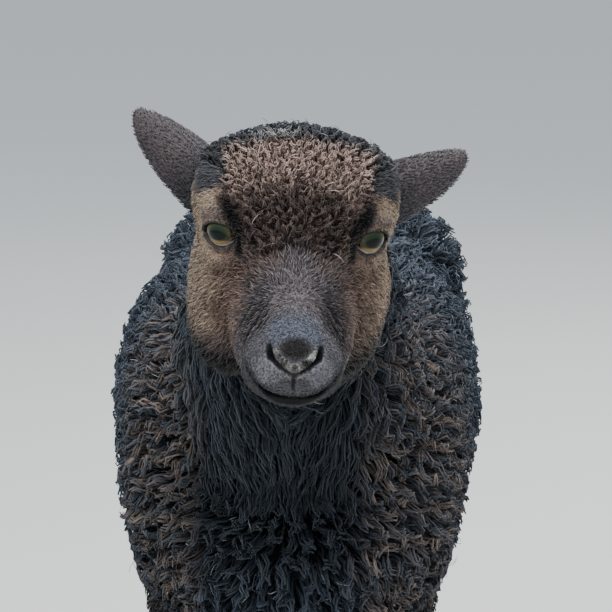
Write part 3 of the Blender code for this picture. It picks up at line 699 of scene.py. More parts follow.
@dataclass(frozen=True)
class Marking:
    """The colours of skin and coat, as a function of place."""

    form: LambForm
    # Near-black wool, given a blue-grey cast as painted reflection of the sky.
    fleece: Triple = (0.038, 0.046, 0.058)
    # Black wool darkened further: painted shade under the head, on throat, jaw and chin.
    throat: Triple = (0.005, 0.006, 0.006)
    chest_brown: Triple = (0.200, 0.140, 0.100)
    mid_face: Triple = (0.118, 0.100, 0.104)
    brow_brown: Triple = (0.086, 0.058, 0.049)
    crown_brown: Triple = (0.430, 0.305, 0.255)
    cheek_brown: Triple = (0.170, 0.114, 0.090)
    temple: Triple = (0.060, 0.059, 0.066)
    cheek_tan: Triple = (0.320, 0.240, 0.172)
    fold: Triple = (0.150, 0.112, 0.096)
    muzzle: Triple = (0.088, 0.083, 0.092)
    # A painted blue-grey sheen, the sky's reflection on the bridge of the nose.
    bridge: Triple = (0.090, 0.097, 0.120)
    # Painted highlight on the cushions beside the nostrils.
    muzzle_highlight: Triple = (0.180, 0.172, 0.190)
    # Darker grey on lower lip and chin: painted shade towards the mouth.
    chin: Triple = (0.042, 0.041, 0.043)
    nose_pad: Triple = (0.022, 0.020, 0.019)
    nose_rim: Triple = (0.340, 0.325, 0.300)
    lip: Triple = (0.006, 0.007, 0.008)
    # Near black: painted shade in the creases, the brows' grooves, the nostrils, the split of the lip
    # and along the upper lids; also the dark bars on the muzzle's sides.
    crease: Triple = (0.003, 0.003, 0.004)
    tear: Triple = (0.007, 0.009, 0.013)
    lid: Triple = (0.070, 0.062, 0.060)
    leg: Triple = (0.017, 0.016, 0.018)
    white: Triple = (0.550, 0.540, 0.520)

    def near(self, local: np.ndarray, forms: Sequence[Form], soft: float) -> np.ndarray:
        """1 on some forms and on their mirror images, fading to 0 around them.

        Args:
            local: Places in the head's axes, as rows.
            forms: Forms where x > 0.
            soft: The distance over which the value fades.

        Returns:
            A share for each place.
        """
        away = np.min([form.distance(folded(local)) for form in forms], axis=0)
        return ramp(away, soft, 0.0)

    def at(self, points: np.ndarray) -> np.ndarray:
        """The colour at points of the lamb.

        Args:
            points: Places on the skin, as rows.

        Returns:
            Linear red, green and blue, as rows.
        """
        layers = Layers(len(points), self.mid_face)
        local = self.form.to_head(points)
        wave = np.sin(points[:, 0] * 410.0) * np.sin(points[:, 1] * 370.0 + points[:, 2] * 330.0)
        self.cheeks(layers, local, wave)
        self.crown(layers, local, wave)
        self.eyes(layers, local)
        self.nose(layers, local)
        self.trunk(layers, points, wave)
        patch = Bar((-0.024, 0.046, 0.036), (-0.002, 0.047, 0.038), 0.004, 0.003)
        layers.lay(self.white, ramp(patch.distance(local), 0.004, 0.0) * 0.8)
        return layers.colour

    def cheeks(self, layers: Layers, local: np.ndarray, wave: np.ndarray) -> None:
        """Lays brown and tan on the cheeks, dark bars beside the bridge, and grey on the muzzle, with
        a painted highlight beside each nostril and painted shade on lower lip and chin.

        Args:
            layers: The colours so far.
            local: Places in the head's axes, as rows.
            wave: A value from -1 to 1 at each place, which makes the borders uneven.
        """
        out, y, z = folded(local).T
        beside = ramp(y, -0.066, -0.040) * ramp(z, -0.066, -0.040)
        layers.lay(self.cheek_brown, ramp(out + 0.003 * wave, 0.020, 0.030) * beside)
        layers.lay(self.cheek_tan, ramp(out + 0.005 * wave, 0.036, 0.050) * beside)
        fringe = ramp(y, -0.042, -0.026) * ramp(out, 0.004, 0.010)
        layers.lay(self.cheek_brown, fringe * ramp(out, 0.030, 0.024) * 0.6)
        bars = np.sin((y * 0.8 - z * 0.6) * 1450.0 + 2.0 * np.sin(out * 420.0 + y * 90.0))
        side = ramp(out, 0.011, 0.016) * ramp(out, 0.031, 0.025) * ramp(y, -0.084, -0.076)
        side *= ramp(y, -0.034, -0.050) * ramp(z, -0.036, -0.026)
        layers.lay(self.crease, side * np.clip(0.72 + 0.90 * bars, 0.0, 0.97))
        layers.lay(self.muzzle, ramp(y, -0.066, -0.082))
        # Painted highlight on the cushion beside each nostril.
        cushion = Ball((0.0130, -0.0940, -0.0175), (0.0060, 0.0060, 0.0055))
        layers.lay(self.muzzle_highlight, self.near(local, [cushion], 0.0050) * 0.8)
        # Painted shade on the lower lip and chin, towards the mouth.
        over_lips = ramp(self.form.mouth_line(local), 0.0060, 0.0015)
        layers.lay(self.chin, ramp(y, -0.070, -0.084) * over_lips * 0.8)

    def crown(self, layers: Layers, local: np.ndarray, wave: np.ndarray) -> None:
        """Lays the browns of forehead and crown, the grey temples, black at the poll, and black
        deepened by painted shade under jaw and chin.

        Args:
            layers: The colours so far.
            local: Places in the head's axes, as rows.
            wave: A value from -1 to 1 at each place, which makes the borders uneven.
        """
        out, y, z = folded(local).T
        crown = self.form.forehead(local)
        layers.lay(self.brow_brown, crown)
        pale = ramp(y + 0.004 * wave, -0.003, 0.016) * ramp(out, 0.044, 0.034)
        layers.lay(self.crown_brown, crown * pale)
        temple = ramp(out, 0.036, 0.041) * ramp(y, 0.008, 0.018) * ramp(z, 0.006, 0.016)
        layers.lay(self.temple, temple)
        layers.lay(self.temple, crown * ramp(y + 0.002 * wave, 0.034, 0.042))
        layers.lay(self.fleece, ramp(y + 0.3 * z, 0.052, 0.064) * ramp(z, 0.000, 0.012))
        # Painted shade under the jaw and the chin.
        layers.lay(self.throat, ramp(z, -0.046, -0.066) * ramp(y, -0.072, -0.056))
        layers.lay(self.throat, ramp(z, -0.044, -0.050) * ramp(out, 0.024, 0.014))

    def eyes(self, layers: Layers, local: np.ndarray) -> None:
        """Lays what is round the eyes: tan spot, fold, near black in the brow's groove and creases as
        painted shade, tear mark, lids, and a painted shade line along the upper lids.

        Args:
            layers: The colours so far.
            local: Places in the head's axes, as rows.
        """
        spot = Bar((0.056, 0.020, 0.009), (0.050, 0.011, 0.018), 0.003, 0.003)
        brow = Bar((0.0405, 0.0040, 0.0220), (0.0330, -0.0110, 0.0135), 0.0018, 0.0026)
        tear = Bar((0.0325, -0.0165, 0.0010), (0.0266, -0.0315, -0.0076), 0.0034, 0.0028)
        layers.lay(self.cheek_tan, self.near(local, [spot], 0.004))
        layers.lay(self.fold, self.near(local, [self.form.lid_fold(0.0030)], 0.002))
        # Painted shade in the groove over each eye, towards its inner corner.
        layers.lay(self.crease, self.near(local, [brow], 0.0045) * 0.8)
        layers.lay(self.tear, self.near(local, [tear], 0.0044) * 0.95)
        # Painted shade in the creases beside the brows.
        layers.lay(self.crease, self.form.creased(local) * 1.1)
        lids = self.form.lid_openings(local)
        layers.lay(self.lid, ramp(lids, 0.0026, 0.0014))
        # Painted shade line along the upper lid's edge.
        layers.lay(self.crease, ramp(lids, 0.0010, 0.0004) * ramp(local[:, 2], -0.003, 0.003))

    def nose(self, layers: Layers, local: np.ndarray) -> None:
        """Lays a painted blue-grey sheen on the bridge, the dark pad with its pale rims, painted shade
        in the nostrils, a painted highlight under the nose, and the lips.

        Args:
            layers: The colours so far.
            local: Places in the head's axes, as rows.
        """
        form = self.form
        out, y, z = folded(local).T
        # Painted sheen on the upper side of the bridge.
        middle = ramp(out, 0.018, 0.009) * ramp(z, -0.018, -0.008)
        layers.lay(self.bridge, ramp(y, -0.060, -0.078) * ramp(y, -0.091, -0.086) * middle)
        pad = Ball((0.0, -0.0925, -0.0040), (0.0058, 0.0040, 0.0040))
        layers.lay(self.nose_pad, self.near(local, [pad], 0.0048))
        layers.lay(self.nose_rim, self.near(local, form.rims(), 0.0016))
        # Painted highlight beside the split of the upper lip, in the rims' pale colour.
        gleam = Bar((0.0026, -0.1008, -0.0178), (0.0064, -0.1000, -0.0162), 0.0007, 0.0003)
        layers.lay(self.nose_rim, self.near(local, [gleam], 0.0014) * 0.35)
        # Painted shade in the nostrils and in the split of the upper lip.
        layers.lay(self.crease, ramp(blended(local, form.nostrils(), form.groove_blend), 0.0005, 0.0))
        lips = form.mouth_line(local)
        low = -0.0098 + 0.0066 * ramp(out, 0.007, 0.019)
        dark = ramp(lips, 0.0014, 0.0006) * ramp(lips, low, low + 0.0024)
        dark *= 0.30 + 0.70 * ramp(out, 0.0215, 0.0145)
        layers.lay(self.lip, dark * ramp(y, form.mouth_corner + 0.002, form.mouth_corner - 0.007))

    def trunk(self, layers: Layers, points: np.ndarray, wave: np.ndarray) -> None:
        """Lays the fleece, the throat's black wool darkened further as painted shade under the head,
        the brown of the chest, and the legs.

        Args:
            layers: The colours so far.
            points: Places, as rows.
            wave: A value from -1 to 1 at each place, which makes the chest patchy.
        """
        x, y, z = points.T
        wool = ramp(self.form.behind_head(points), -0.006, 0.006)
        layers.lay(self.fleece, wool)
        # Painted shade on the throat, under the head.
        throat = ramp(np.abs(x + 0.012), 0.066, 0.032) * ramp(y, -0.120, -0.195)
        layers.lay(self.throat, throat * wool * ramp(z, 0.470, 0.440) * ramp(z, 0.255, 0.290))
        chest = ramp(np.abs(x + 0.008), 0.030, 0.048) * ramp(y, -0.040, -0.160)
        chest *= wool * ramp(z, 0.440, 0.400) * ramp(np.abs(x), 0.100, 0.080)
        layers.lay(self.chest_brown, chest * np.clip(0.45 + 0.55 * wave, 0.0, 1.0))
        layers.lay(self.leg, ramp(z, 0.245, 0.225))


class Finish:
    """A material under way: the nodes round its Principled shader."""

    def __init__(self, name: str, values: Inputs) -> None:
        """Makes the material, and sets inputs of its shader.

        Args:
            name: The material's name.
            values: What goes into the shader's inputs.
        """
        self.material = bpy.data.materials.new(name)
        self.material.use_nodes = True
        self.tree = self.material.node_tree
        self.shader = self.tree.nodes["Principled BSDF"]
        self.fill(self.shader, values)

    def fill(self, node: bpy.types.Node, inputs: Inputs) -> None:
        """Links inputs of a node to other nodes, or sets their values.

        Args:
            node: The node.
            inputs: What goes into each input, by the input's name or number.
        """
        for key, value in inputs.items():
            if isinstance(value, Socket):
                self.tree.links.new(value, node.inputs[key])
            else:
                node.inputs[key].default_value = value

    def add(self, kind: str, inputs: Inputs, **options: str) -> bpy.types.Node:
        """Adds a node.

        Args:
            kind: The last part of the name of its type.
            inputs: What goes into its inputs.
            **options: Its other settings.

        Returns:
            The node.
        """
        node = self.tree.nodes.new(f"ShaderNode{kind}")
        for option, value in options.items():
            setattr(node, option, value)
        self.fill(node, inputs)
        return node

    def dented(self, height: Socket, strength: float, depth: float) -> None:
        """Gives the shader a bump from a height, with a strength and a depth in metres."""
        bump = self.add("Bump", {"Strength": strength, "Distance": depth, "Height": height})
        self.fill(self.shader, {"Normal": bump.outputs["Normal"]})


@dataclass(frozen=True)
class CoatFinish:
    """Wool or hair: its colour comes from the attribute that skin and coat share."""

    name: str
    roughness: float = 0.55
    sheen: float = 0.25
    sheen_roughness: float = 0.45
    sheen_tint: Triple = (0.60, 0.66, 0.80)
    stripes: float = 0.0
    bump: float = 0.0
    strand_strength: float = 0.8
    pore_strength: float = 0.6
    grain: float = 900.0
    specular: float = 0.25
    contrast: float = 0.38

    def make(self) -> bpy.types.Material:
        """The material.

        Returns:
            A Principled material with fine noise in its colour, and strands or pores as bump.
        """
        finish = Finish(self.name, {
            "Roughness": self.roughness,
            "Sheen Weight": self.sheen,
            "Sheen Roughness": self.sheen_roughness,
            "Sheen Tint": (*self.sheen_tint, 1.0),
            "Specular IOR Level": self.specular,
        })
        colour = finish.add("Attribute", {}, attribute_name="coat").outputs["Color"]
        place = finish.add("TexCoord", {}).outputs["Object"]
        speckle = {"Scale": self.grain, "Detail": 2.0, "Vector": place}
        noise = finish.add("TexNoise", speckle).outputs["Fac"]
        spread = {
            "From Min": 0.3,
            "From Max": 0.7,
            "To Min": 1.0 - self.contrast,
            "To Max": 1.0 + self.contrast,
            "Value": noise,
        }
        value = finish.add("MapRange", spread).outputs["Result"]
        mixed = finish.add("VectorMath", {0: colour, "Scale": value}, operation="SCALE")
        finish.fill(finish.shader, {"Base Color": mixed.outputs["Vector"]})
        if self.stripes:
            strand = finish.add("UVMap", {}, uv_map="Strand").outputs["UV"]
            waves = {"Scale": self.stripes, "Distortion": 1.5, "Detail": 1.0, "Vector": strand}
            wave = finish.add("TexWave", waves).outputs["Fac"]
            finish.dented(wave, self.strand_strength, self.bump)
        elif self.bump:
            finish.dented(noise, self.pore_strength, self.bump)
        return finish.material


@dataclass(frozen=True)
class EyeFinish:
    """A wet eye: olive above, amber below, with a level dark pupil and a painted highlight along the
    lower edge.
    """

    iris_radius: float = 0.0080
    pupil_half_width: float = 0.0056
    pupil_half_height: float = 0.0027
    middle: Triple = (0.005, 0.015, 0.008)
    rim: Triple = (0.016, 0.010, 0.007)
    rings: tuple[tuple[float, Triple], ...] = (
        (0.62, (0.021, 0.036, 0.018)),
        (0.88, (0.080, 0.074, 0.034)),
    )
    amber: Triple = (0.260, 0.160, 0.062)
    # Painted highlight of the wet lower lid's edge.
    lower_lid_highlight: Triple = (0.420, 0.400, 0.370)
    pupil: Triple = (0.003, 0.004, 0.004)
    amber_fade: tuple[float, float] = (-0.0026, -0.0042)
    wet_fade: tuple[float, float] = (-0.0024, -0.0046)
    lid_fade: tuple[float, float] = (-0.0013, -0.0008)

    def make(self) -> bpy.types.Material:
        """The material.

        Returns:
            A coated material. The attribute named eye holds the place across and up the eye, and
            the distance to the lids' edge.
        """
        finish = Finish("wet_eye", {
            "Roughness": 0.35,
            "Specular IOR Level": 0.0,
            "Coat Weight": 0.85,
            "Coat Roughness": 0.02,
            "Coat IOR": 1.28,
        })
        plane = finish.add("Attribute", {}, attribute_name="eye").outputs["Vector"]
        parts = finish.add("SeparateXYZ", {"Vector": plane}).outputs
        iris = self.measured(finish, plane, self.iris_radius, self.iris_radius)
        around = finish.add("ValToRGB", {"Fac": iris})
        stops = around.color_ramp.elements
        stops[0].position, stops[0].color = 0.30, (*self.middle, 1.0)
        stops[1].position, stops[1].color = 1.00, (*self.rim, 1.0)
        for position, colour in self.rings:
            stops.new(position).color = (*colour, 1.0)
        inside = self.share(finish, iris, 1.00, 0.90)
        below = self.share(finish, parts["Y"], *self.amber_fade)
        glow = self.both(finish, below, inside)
        colour = self.laid(finish, around.outputs["Color"], self.amber, glow)
        pupil = self.measured(finish, plane, self.pupil_half_width, self.pupil_half_height)
        colour = self.laid(finish, colour, self.pupil, self.share(finish, pupil, 1.15, 0.85))
        # Painted highlight along the lower edge, next to the lids.
        at_lid = self.share(finish, parts["Z"], *self.lid_fade)
        edge = self.both(finish, at_lid, self.share(finish, parts["Y"], *self.wet_fade))
        colour = self.laid(finish, colour, self.lower_lid_highlight, edge)
        finish.fill(finish.shader, {"Base Color": colour})
        return finish.material

    def measured(self, finish: Finish, plane: Socket, wide: float, high: float) -> Socket:
        """How far a place lies from the eye's middle, over the size of an oval.

        Args:
            finish: The material under way.
            plane: The place across and up the eye.
            wide: The half width.
            high: The half height.

        Returns:
            A value that is 1 on the edge of that oval.
        """
        size = (1 / wide, 1 / high, 0.0)
        scaled = finish.add("VectorMath", {0: plane, 1: size}, operation="MULTIPLY")
        length = {0: scaled.outputs["Vector"]}
        return finish.add("VectorMath", length, operation="LENGTH").outputs["Value"]

    def share(self, finish: Finish, value: Socket, low: float, high: float) -> Socket:
        """A value's way from low to high, between 0 and 1."""
        way = {"From Min": low, "From Max": high, "Value": value}
        return finish.add("MapRange", way).outputs["Result"]

    def both(self, finish: Finish, first: Socket, second: Socket) -> Socket:
        """The product of two values."""
        product = finish.add("Math", {0: first, 1: second}, operation="MULTIPLY")
        return product.outputs["Value"]

    def laid(self, finish: Finish, under: Socket, over: Triple, factor: Socket) -> Socket:
        """A colour laid over another by a factor."""
        mixed = {7: (*over, 1.0), "Factor": factor, 6: under}
        return finish.add("Mix", mixed, data_type="RGBA").outputs[2]


@dataclass(frozen=True)
class HornFinish:
    """Dark horn with faint growth rings."""

    colour: Triple = (0.030, 0.026, 0.024)
    shades: tuple[float, float] = (0.6, 1.6)

    def make(self) -> bpy.types.Material:
        """The material.

        Returns:
            A Principled material with level rings in colour and bump.
        """
        finish = Finish("dark_horn", {"Roughness": 0.42})
        place = finish.add("TexCoord", {}).outputs["Object"]
        waves = {"Scale": 120.0, "Distortion": 2.0, "Vector": place}
        rings = finish.add("TexWave", waves, bands_direction="Z").outputs["Fac"]
        shade = finish.add("ValToRGB", {"Fac": rings})
        for stop, share in zip(shade.color_ramp.elements, self.shades):
            stop.color = (*(c * share for c in self.colour), 1.0)
        finish.fill(finish.shader, {"Base Color": shade.outputs["Color"]})
        finish.dented(rings, 0.4, 0.0004)
        return finish.material


def dress(
    piece: bpy.types.Object, form: LambForm, material: bpy.types.Material, slot: Slot, *nodes: str
) -> None:
    """Gives a piece its place and finish, and lets it ride on the body.

    Args:
        piece: The piece, in the lamb's own place.
        form: The lamb, which knows its place in the frame.
        material: The piece's finish.
        slot: The record's slot that the finish fills; not used.
        *nodes: The CAD nodes that it replaces.
    """
    piece.data.transform(moved_to(form.shift))
    piece.data.materials.clear()
    piece.data.materials.append(material)
    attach(piece, "root")
    if nodes:
        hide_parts(*nodes)
    piece.data.calc_loop_triangles()
    LOG.info("%s: %d triangles", piece.name, len(piece.data.loop_triangles))


def moved_to(place: np.ndarray) -> Matrix:
    """A move from the origin to a place."""
    return Matrix.Translation(Vector(place.tolist()))


def add_object(name: str, data: bpy.types.ID) -> bpy.types.Object:
    """A mesh, light or camera as an object of the scene.

    Args:
        name: The object's name.
        data: What it shows.

    Returns:
        The object.
    """
    made = bpy.data.objects.new(name, data)
    bpy.context.scene.collection.objects.link(made)
    return made


def as_mesh(shape: bmesh.types.BMesh, name: str) -> bpy.types.Mesh:
    """A bmesh as a new mesh. The bmesh is freed.

    Args:
        shape: The bmesh.
        name: The mesh's name.

    Returns:
        The mesh.
    """
    mesh = bpy.data.meshes.new(name)
    shape.to_mesh(mesh)
    shape.free()
    return mesh


def baked(piece: bpy.types.Object) -> None:
    """Replaces an object's mesh with the one that its modifiers make.

    Args:
        piece: The object, which loses its modifiers.
    """
    graph = bpy.context.evaluated_depsgraph_get()
    made = bpy.data.meshes.new_from_object(piece.evaluated_get(graph))
    piece.modifiers.clear()
    old, piece.data = piece.data, made
    bpy.data.meshes.remove(old)


def corners(mesh: bpy.types.Mesh, kind: str = "co") -> np.ndarray:
    """A mesh's vertices, or their normals.

    Args:
        mesh: The mesh.
        kind: The word co for the vertices, or normal.

    Returns:
        A row for each vertex.
    """
    flat = np.empty(len(mesh.vertices) * 3)
    mesh.vertices.foreach_get(kind, flat)
    return flat.reshape(-1, 3)


def paint(mesh: bpy.types.Mesh, colours: np.ndarray) -> None:
    """Writes the colour attribute that the coat's finish reads.

    Args:
        mesh: The mesh.
        colours: Linear red, green and blue for each vertex.
    """
    layer = mesh.color_attributes.new("coat", "FLOAT_COLOR", "POINT")
    full = np.concatenate([colours, np.ones((len(colours), 1))], axis=1)
    layer.data.foreach_set("color", full.astype(np.float32).ravel())


def settle(mesh: bpy.types.Mesh, distance: Measure, step: float, rounds: int) -> None:
    """Moves every vertex onto the surface where distance is zero.

    Args:
        mesh: The mesh.
        distance: The distance to the surface.
        step: How far a vertex moves at most in one round.
        rounds: How many times it moves.
    """
    points = corners(mesh)
    for _ in range(rounds):
        slope = gradient(points, distance)
        steep = np.maximum((slope**2).sum(axis=1), TINY)
        move = distance(points)[:, None] * slope / steep[:, None]
        length = np.maximum(np.linalg.norm(move, axis=1), TINY)
        points -= move * np.minimum(1.0, step / length)[:, None]
    mesh.vertices.foreach_set("co", points.ravel())
    mesh.update()


@dataclass
class Skin:
    """The skin of the whole lamb but for its ears, as one mesh without seams."""

    form: LambForm
    voxel: float = 0.0052
    fine_step: float = 0.002
    head_end: float = 0.004
    feature_reach: float = 0.0042
    lip_reach: float = 0.0045
    name: str = "skin"

    def rough(self) -> bpy.types.Object:
        """The forms of the lamb as overlapping balls and bars.

        Returns:
            Their object.
        """
        shape = bmesh.new()
        head = Matrix.Translation(self.form.head_origin) @ Matrix(self.form.turn.tolist()).to_4x4()
        for forms, place in (
            (self.form.skull, head),
            (self.form.trunk + self.form.tail, Matrix()),
            (sum(self.form.legs, []), Matrix()),
        ):
            for form in forms:
                self.add(shape, form, place)
        return add_object(self.name, as_mesh(shape, self.name))

    def add(self, shape: bmesh.types.BMesh, form: Form, place: Matrix) -> None:
        """Adds one form to a bmesh.

        Args:
            shape: The bmesh.
            form: A ball or a bar.
            place: Where its axes lie.
        """
        if isinstance(form, Ball):
            size = Matrix.Translation(form.centre) @ Matrix.Diagonal((*form.radii, 1.0))
            bmesh.ops.create_icosphere(shape, subdivisions=3, radius=1.0, matrix=place @ size)
            return
        start, end = Vector(form.start), Vector(form.end)
        for point, radius in ((start, form.start_radius), (end, form.end_radius)):
            at = place @ Matrix.Translation(point)
            bmesh.ops.create_icosphere(shape, subdivisions=2, radius=radius, matrix=at)
        turn = (end - start).to_track_quat("Z", "Y").to_matrix().to_4x4()
        bmesh.ops.create_cone(
            shape,
            cap_ends=True,
            segments=20,
            radius1=form.start_radius,
            radius2=form.end_radius,
            depth=(end - start).length,
            matrix=place @ Matrix.Translation((start + end) / 2) @ turn,
        )

    def refine(self, mesh: bpy.types.Mesh, inside: Measure) -> None:
        """Halves the faces whose middles lie in a region, and settles them again.

        Args:
            mesh: The skin's mesh.
            inside: Which points lie in the region.
        """
        shape = bmesh.new()
        shape.from_mesh(mesh)
        middles = np.array([face.calc_center_median() for face in shape.faces])
        chosen = inside(middles)
        edges = {edge for face, take in zip(shape.faces, chosen) if take for edge in face.edges}
        bmesh.ops.subdivide_edges(shape, edges=list(edges), cuts=1, use_grid_fill=True)
        for _ in range(2):
            close = inside(np.array([vertex.co for vertex in shape.verts]))
            moving = [vertex for vertex, take in zip(shape.verts, close) if take]
            bmesh.ops.smooth_vert(
                shape, verts=moving, factor=0.5, use_axis_x=True, use_axis_y=True, use_axis_z=True
            )
        shape.to_mesh(mesh)
        shape.free()
        settle(mesh, self.form.skin, self.fine_step, 3)

    def on_head(self, points: np.ndarray) -> np.ndarray:
        """Which points lie on the head."""
        return self.form.behind_head(points) < self.head_end

    def on_features(self, points: np.ndarray) -> np.ndarray:
        """Which points lie round the eyes, the nostrils and the mouth.

        Args:
            points: Places, as rows.

        Returns:
            A truth value for each place.
        """
        local = self.form.to_head(points)
        nostrils = blended(local, self.form.nostrils(), 0.001)
        near = np.minimum(self.form.lid_openings(local), nostrils)
        lips = np.abs(self.form.mouth_line(local)) < self.lip_reach
        lips &= local[:, 1] < self.form.mouth_corner + 0.004
        return (near < self.feature_reach) | lips

    def build(self) -> bpy.types.Object:
        """The skin.

        Returns:
            Its object, in the lamb's own place.
        """
        piece = self.rough()
        for rounds in (9, 6):
            remesh = piece.modifiers.new("wrap", "REMESH")
            remesh.mode = "VOXEL"
            remesh.voxel_size = self.voxel
            baked(piece)
            settle(piece.data, self.form.skin, self.voxel, rounds)
        self.refine(piece.data, self.on_head)
        self.refine(piece.data, self.on_head)
        self.refine(piece.data, self.on_features)
        return piece


class Scatter:
    """Random places on a mesh, as even as its cells."""

    tries = 6.0
    cells_across = 4096

    def __init__(self, mesh: bpy.types.Mesh, seed: int) -> None:
        """Reads the triangles of a mesh.

        Args:
            mesh: The mesh.
            seed: The seed of what is random.
        """
        mesh.calc_loop_triangles()
        flat = np.empty(len(mesh.loop_triangles) * 3, np.int32)
        mesh.loop_triangles.foreach_get("vertices", flat)
        self.triangles = flat.reshape(-1, 3)
        self.points, self.normals = corners(mesh), corners(mesh, "normal")
        ends = self.points[self.triangles]
        cross = np.cross(ends[:, 1] - ends[:, 0], ends[:, 2] - ends[:, 0])
        self.areas = np.linalg.norm(cross, axis=1) / 2
        self.draw = np.random.default_rng(seed)

    def even(self, spacing: float, inside: Measure) -> tuple[np.ndarray, np.ndarray]:
        """One place in each cell that the wanted part of the surface passes through.

        Args:
            spacing: The size of a cell.
            inside: Which points are wanted.

        Returns:
            Places and normals, as rows.
        """
        wanted = inside(self.points[self.triangles].mean(axis=1))
        areas = self.areas * wanted
        count = int(self.tries * areas.sum() / spacing**2)
        index = self.draw.choice(len(areas), count, p=areas / areas.sum())
        first, second = self.draw.random((2, count, 1))
        over = first + second > 1.0
        first, second = np.where(over, 1.0 - first, first), np.where(over, 1.0 - second, second)
        corner = self.triangles[index]
        weights = (1.0 - first - second, first, second)
        places = sum(w * self.points[corner[:, i]] for i, w in enumerate(weights))
        normals = sum(w * self.normals[corner[:, i]] for i, w in enumerate(weights))
        cells = np.floor(places / spacing).astype(np.int64)
        keys = (cells[:, 0] * self.cells_across + cells[:, 1]) * self.cells_across + cells[:, 2]
        chosen = np.unique(keys, return_index=True)[1]
        return places[chosen], unit(normals[chosen])


@dataclass
class Tufts:
    """Many closed, tapered, three-sided blades, each along its own path."""

    paths: np.ndarray
    widths: np.ndarray
    colours: np.ndarray
    unwrapped: np.ndarray
    profile: tuple[float, ...]
    root_shade: float = 0.45
    patch: float = 0.003
    most: int = 190000

    def pieces(self, name: str) -> list[bpy.types.Object]:
        """The tufts as objects of at most so many triangles, split along the lamb.

        Args:
            name: Their name, to which a number is added where there are more than one.

        Returns:
            The objects, from head to tail.
        """
        steps = self.paths.shape[1]
        each = 6 * (steps - 2) + 4
        parts = max(1, math.ceil(len(self.paths) * each / self.most))
        order = np.argsort(self.paths[:, 0, 1], kind="stable")
        made = []
        for number, chosen in enumerate(np.array_split(order, parts)):
            label = name if parts == 1 else f"{name}_{number + 1}"
            made.append(add_object(label, self.mesh(label, chosen)))
        return made

    def template(self, steps: int) -> tuple[np.ndarray, np.ndarray, np.ndarray]:
        """The triangles of one tuft.

        Args:
            steps: How many points its path has.

        Returns:
            The corners of the triangles, their sides and their steps along the path.
        """
        triangles, sides, rows = [(0, 2, 1)], [(0, 2, 1)], [(0, 0, 0)]
        for row in range(steps - 2):
            for side in range(3):
                low, after = row * 3 + side, row * 3 + (side + 1) % 3
                triangles += [(low, after, after + 3), (low, after + 3, low + 3)]
                sides += [(side, side + 1, side + 1), (side, side + 1, side)]
                rows += [(row, row, row + 1), (row, row + 1, row + 1)]
        last, tip = (steps - 2) * 3, (steps - 1) * 3
        for side in range(3):
            triangles.append((last + side, last + (side + 1) % 3, tip))
            sides.append((side, side + 1, side + 0.5))
            rows.append((steps - 2, steps - 2, steps - 1))
        return np.array(triangles), np.array(sides), np.array(rows)

    def mesh(self, name: str, chosen: np.ndarray) -> bpy.types.Mesh:
        """One mesh of the chosen tufts.

        Args:
            name: The mesh's name.
            chosen: Which tufts it holds.

        Returns:
            The mesh, with its colours, its strand map and its map for baking.
        """
        paths, widths = self.paths[chosen], self.widths[chosen]
        count, steps = paths.shape[:2]
        tangents = unit(np.gradient(paths, axis=1))
        side = unit(np.cross(tangents[:, 0], (0.31, 0.57, 0.76)))
        rings = []
        for row in range(steps - 1):
            way = tangents[:, row]
            side = unit(side - way * (side * way).sum(axis=1, keepdims=True))
            up = np.cross(way, side)
            reach = widths[:, None] * self.profile[row] / 2
            for angle in (0.0, 2 * math.pi / 3, 4 * math.pi / 3):
                turned = side * math.cos(angle) + up * math.sin(angle)
                rings.append(paths[:, row] + turned * reach)
        rings.append(paths[:, -1])
        points = np.stack(rings, axis=1)
        triangles, sides, rows = self.template(steps)
        faces = (np.arange(count)[:, None, None] * points.shape[1] + triangles).reshape(-1)
        mesh = bpy.data.meshes.new(name)
        mesh.vertices.add(points.shape[0] * points.shape[1])
        mesh.vertices.foreach_set("co", points.ravel())
        mesh.loops.add(len(faces))
        mesh.loops.foreach_set("vertex_index", faces.astype(np.int32))
        mesh.polygons.add(len(faces) // 3)
        mesh.polygons.foreach_set("loop_start", np.arange(0, len(faces), 3, dtype=np.int32))
        mesh.update(calc_edges=True)
        mesh.validate()
        share = np.append(np.repeat(np.arange(steps - 1), 3), steps - 1) / (steps - 1)
        shade = self.root_shade + (1.0 - self.root_shade) * np.minimum(1.0, share * 1.6)
        colours = self.colours[chosen][:, None] * shade[None, :, None]
        paint(mesh, colours.reshape(-1, 3))
        spot = np.stack([sides.ravel() / 3, rows.ravel() / (steps - 1)], axis=1)
        strand = mesh.uv_layers.new(name="Strand")
        strand.data.foreach_set("uv", np.tile(spot, (count, 1)).astype(np.float32).ravel())
        bake = mesh.uv_layers.new(name="OFBake")
        places = self.unwrapped[chosen][:, None] + (spot[None] - 0.5) * self.patch
        bake.data.foreach_set("uv", np.clip(places, 0, 1).astype(np.float32).ravel())
        mesh.shade_smooth()
        return mesh


# Each step of a lock: how far it has risen, how far it has gathered to its clump's middle, its
# turn in radians, its curl's share of the radius, its lean along the coat, and its fall on the throat.
LOCK_STEPS = (
    (0.00, 0.00, 0.0, 0.00, 0.00, 0.00),
    (0.42, 0.20, 0.6, 0.40, 0.03, 0.12),
    (0.76, 0.40, 1.9, 0.85, 0.12, 0.42),
    (0.96, 0.56, 3.5, 1.00, 0.24, 0.85),
    (1.00, 0.64, 5.2, 0.95, 0.34, 1.30),
    (0.90, 0.70, 7.0, 0.60, 0.38, 1.70),
)


@dataclass(frozen=True)
class Locks:
    """The sizes of locks.

    Spacing and clump are the cells of one lock and one clump, radius is that of a lock's curl, and
    overshoot is how far curls stand past the coat's outer surface.
    """

    spacing: float
    clump: float
    width: float
    radius: float
    seed: int
    overshoot: float = 0.0


@dataclass(frozen=True)
class Hairs:
    """The sizes of hairs, where spacing is the cell of one hair."""

    spacing: float
    width: float
    seed: int


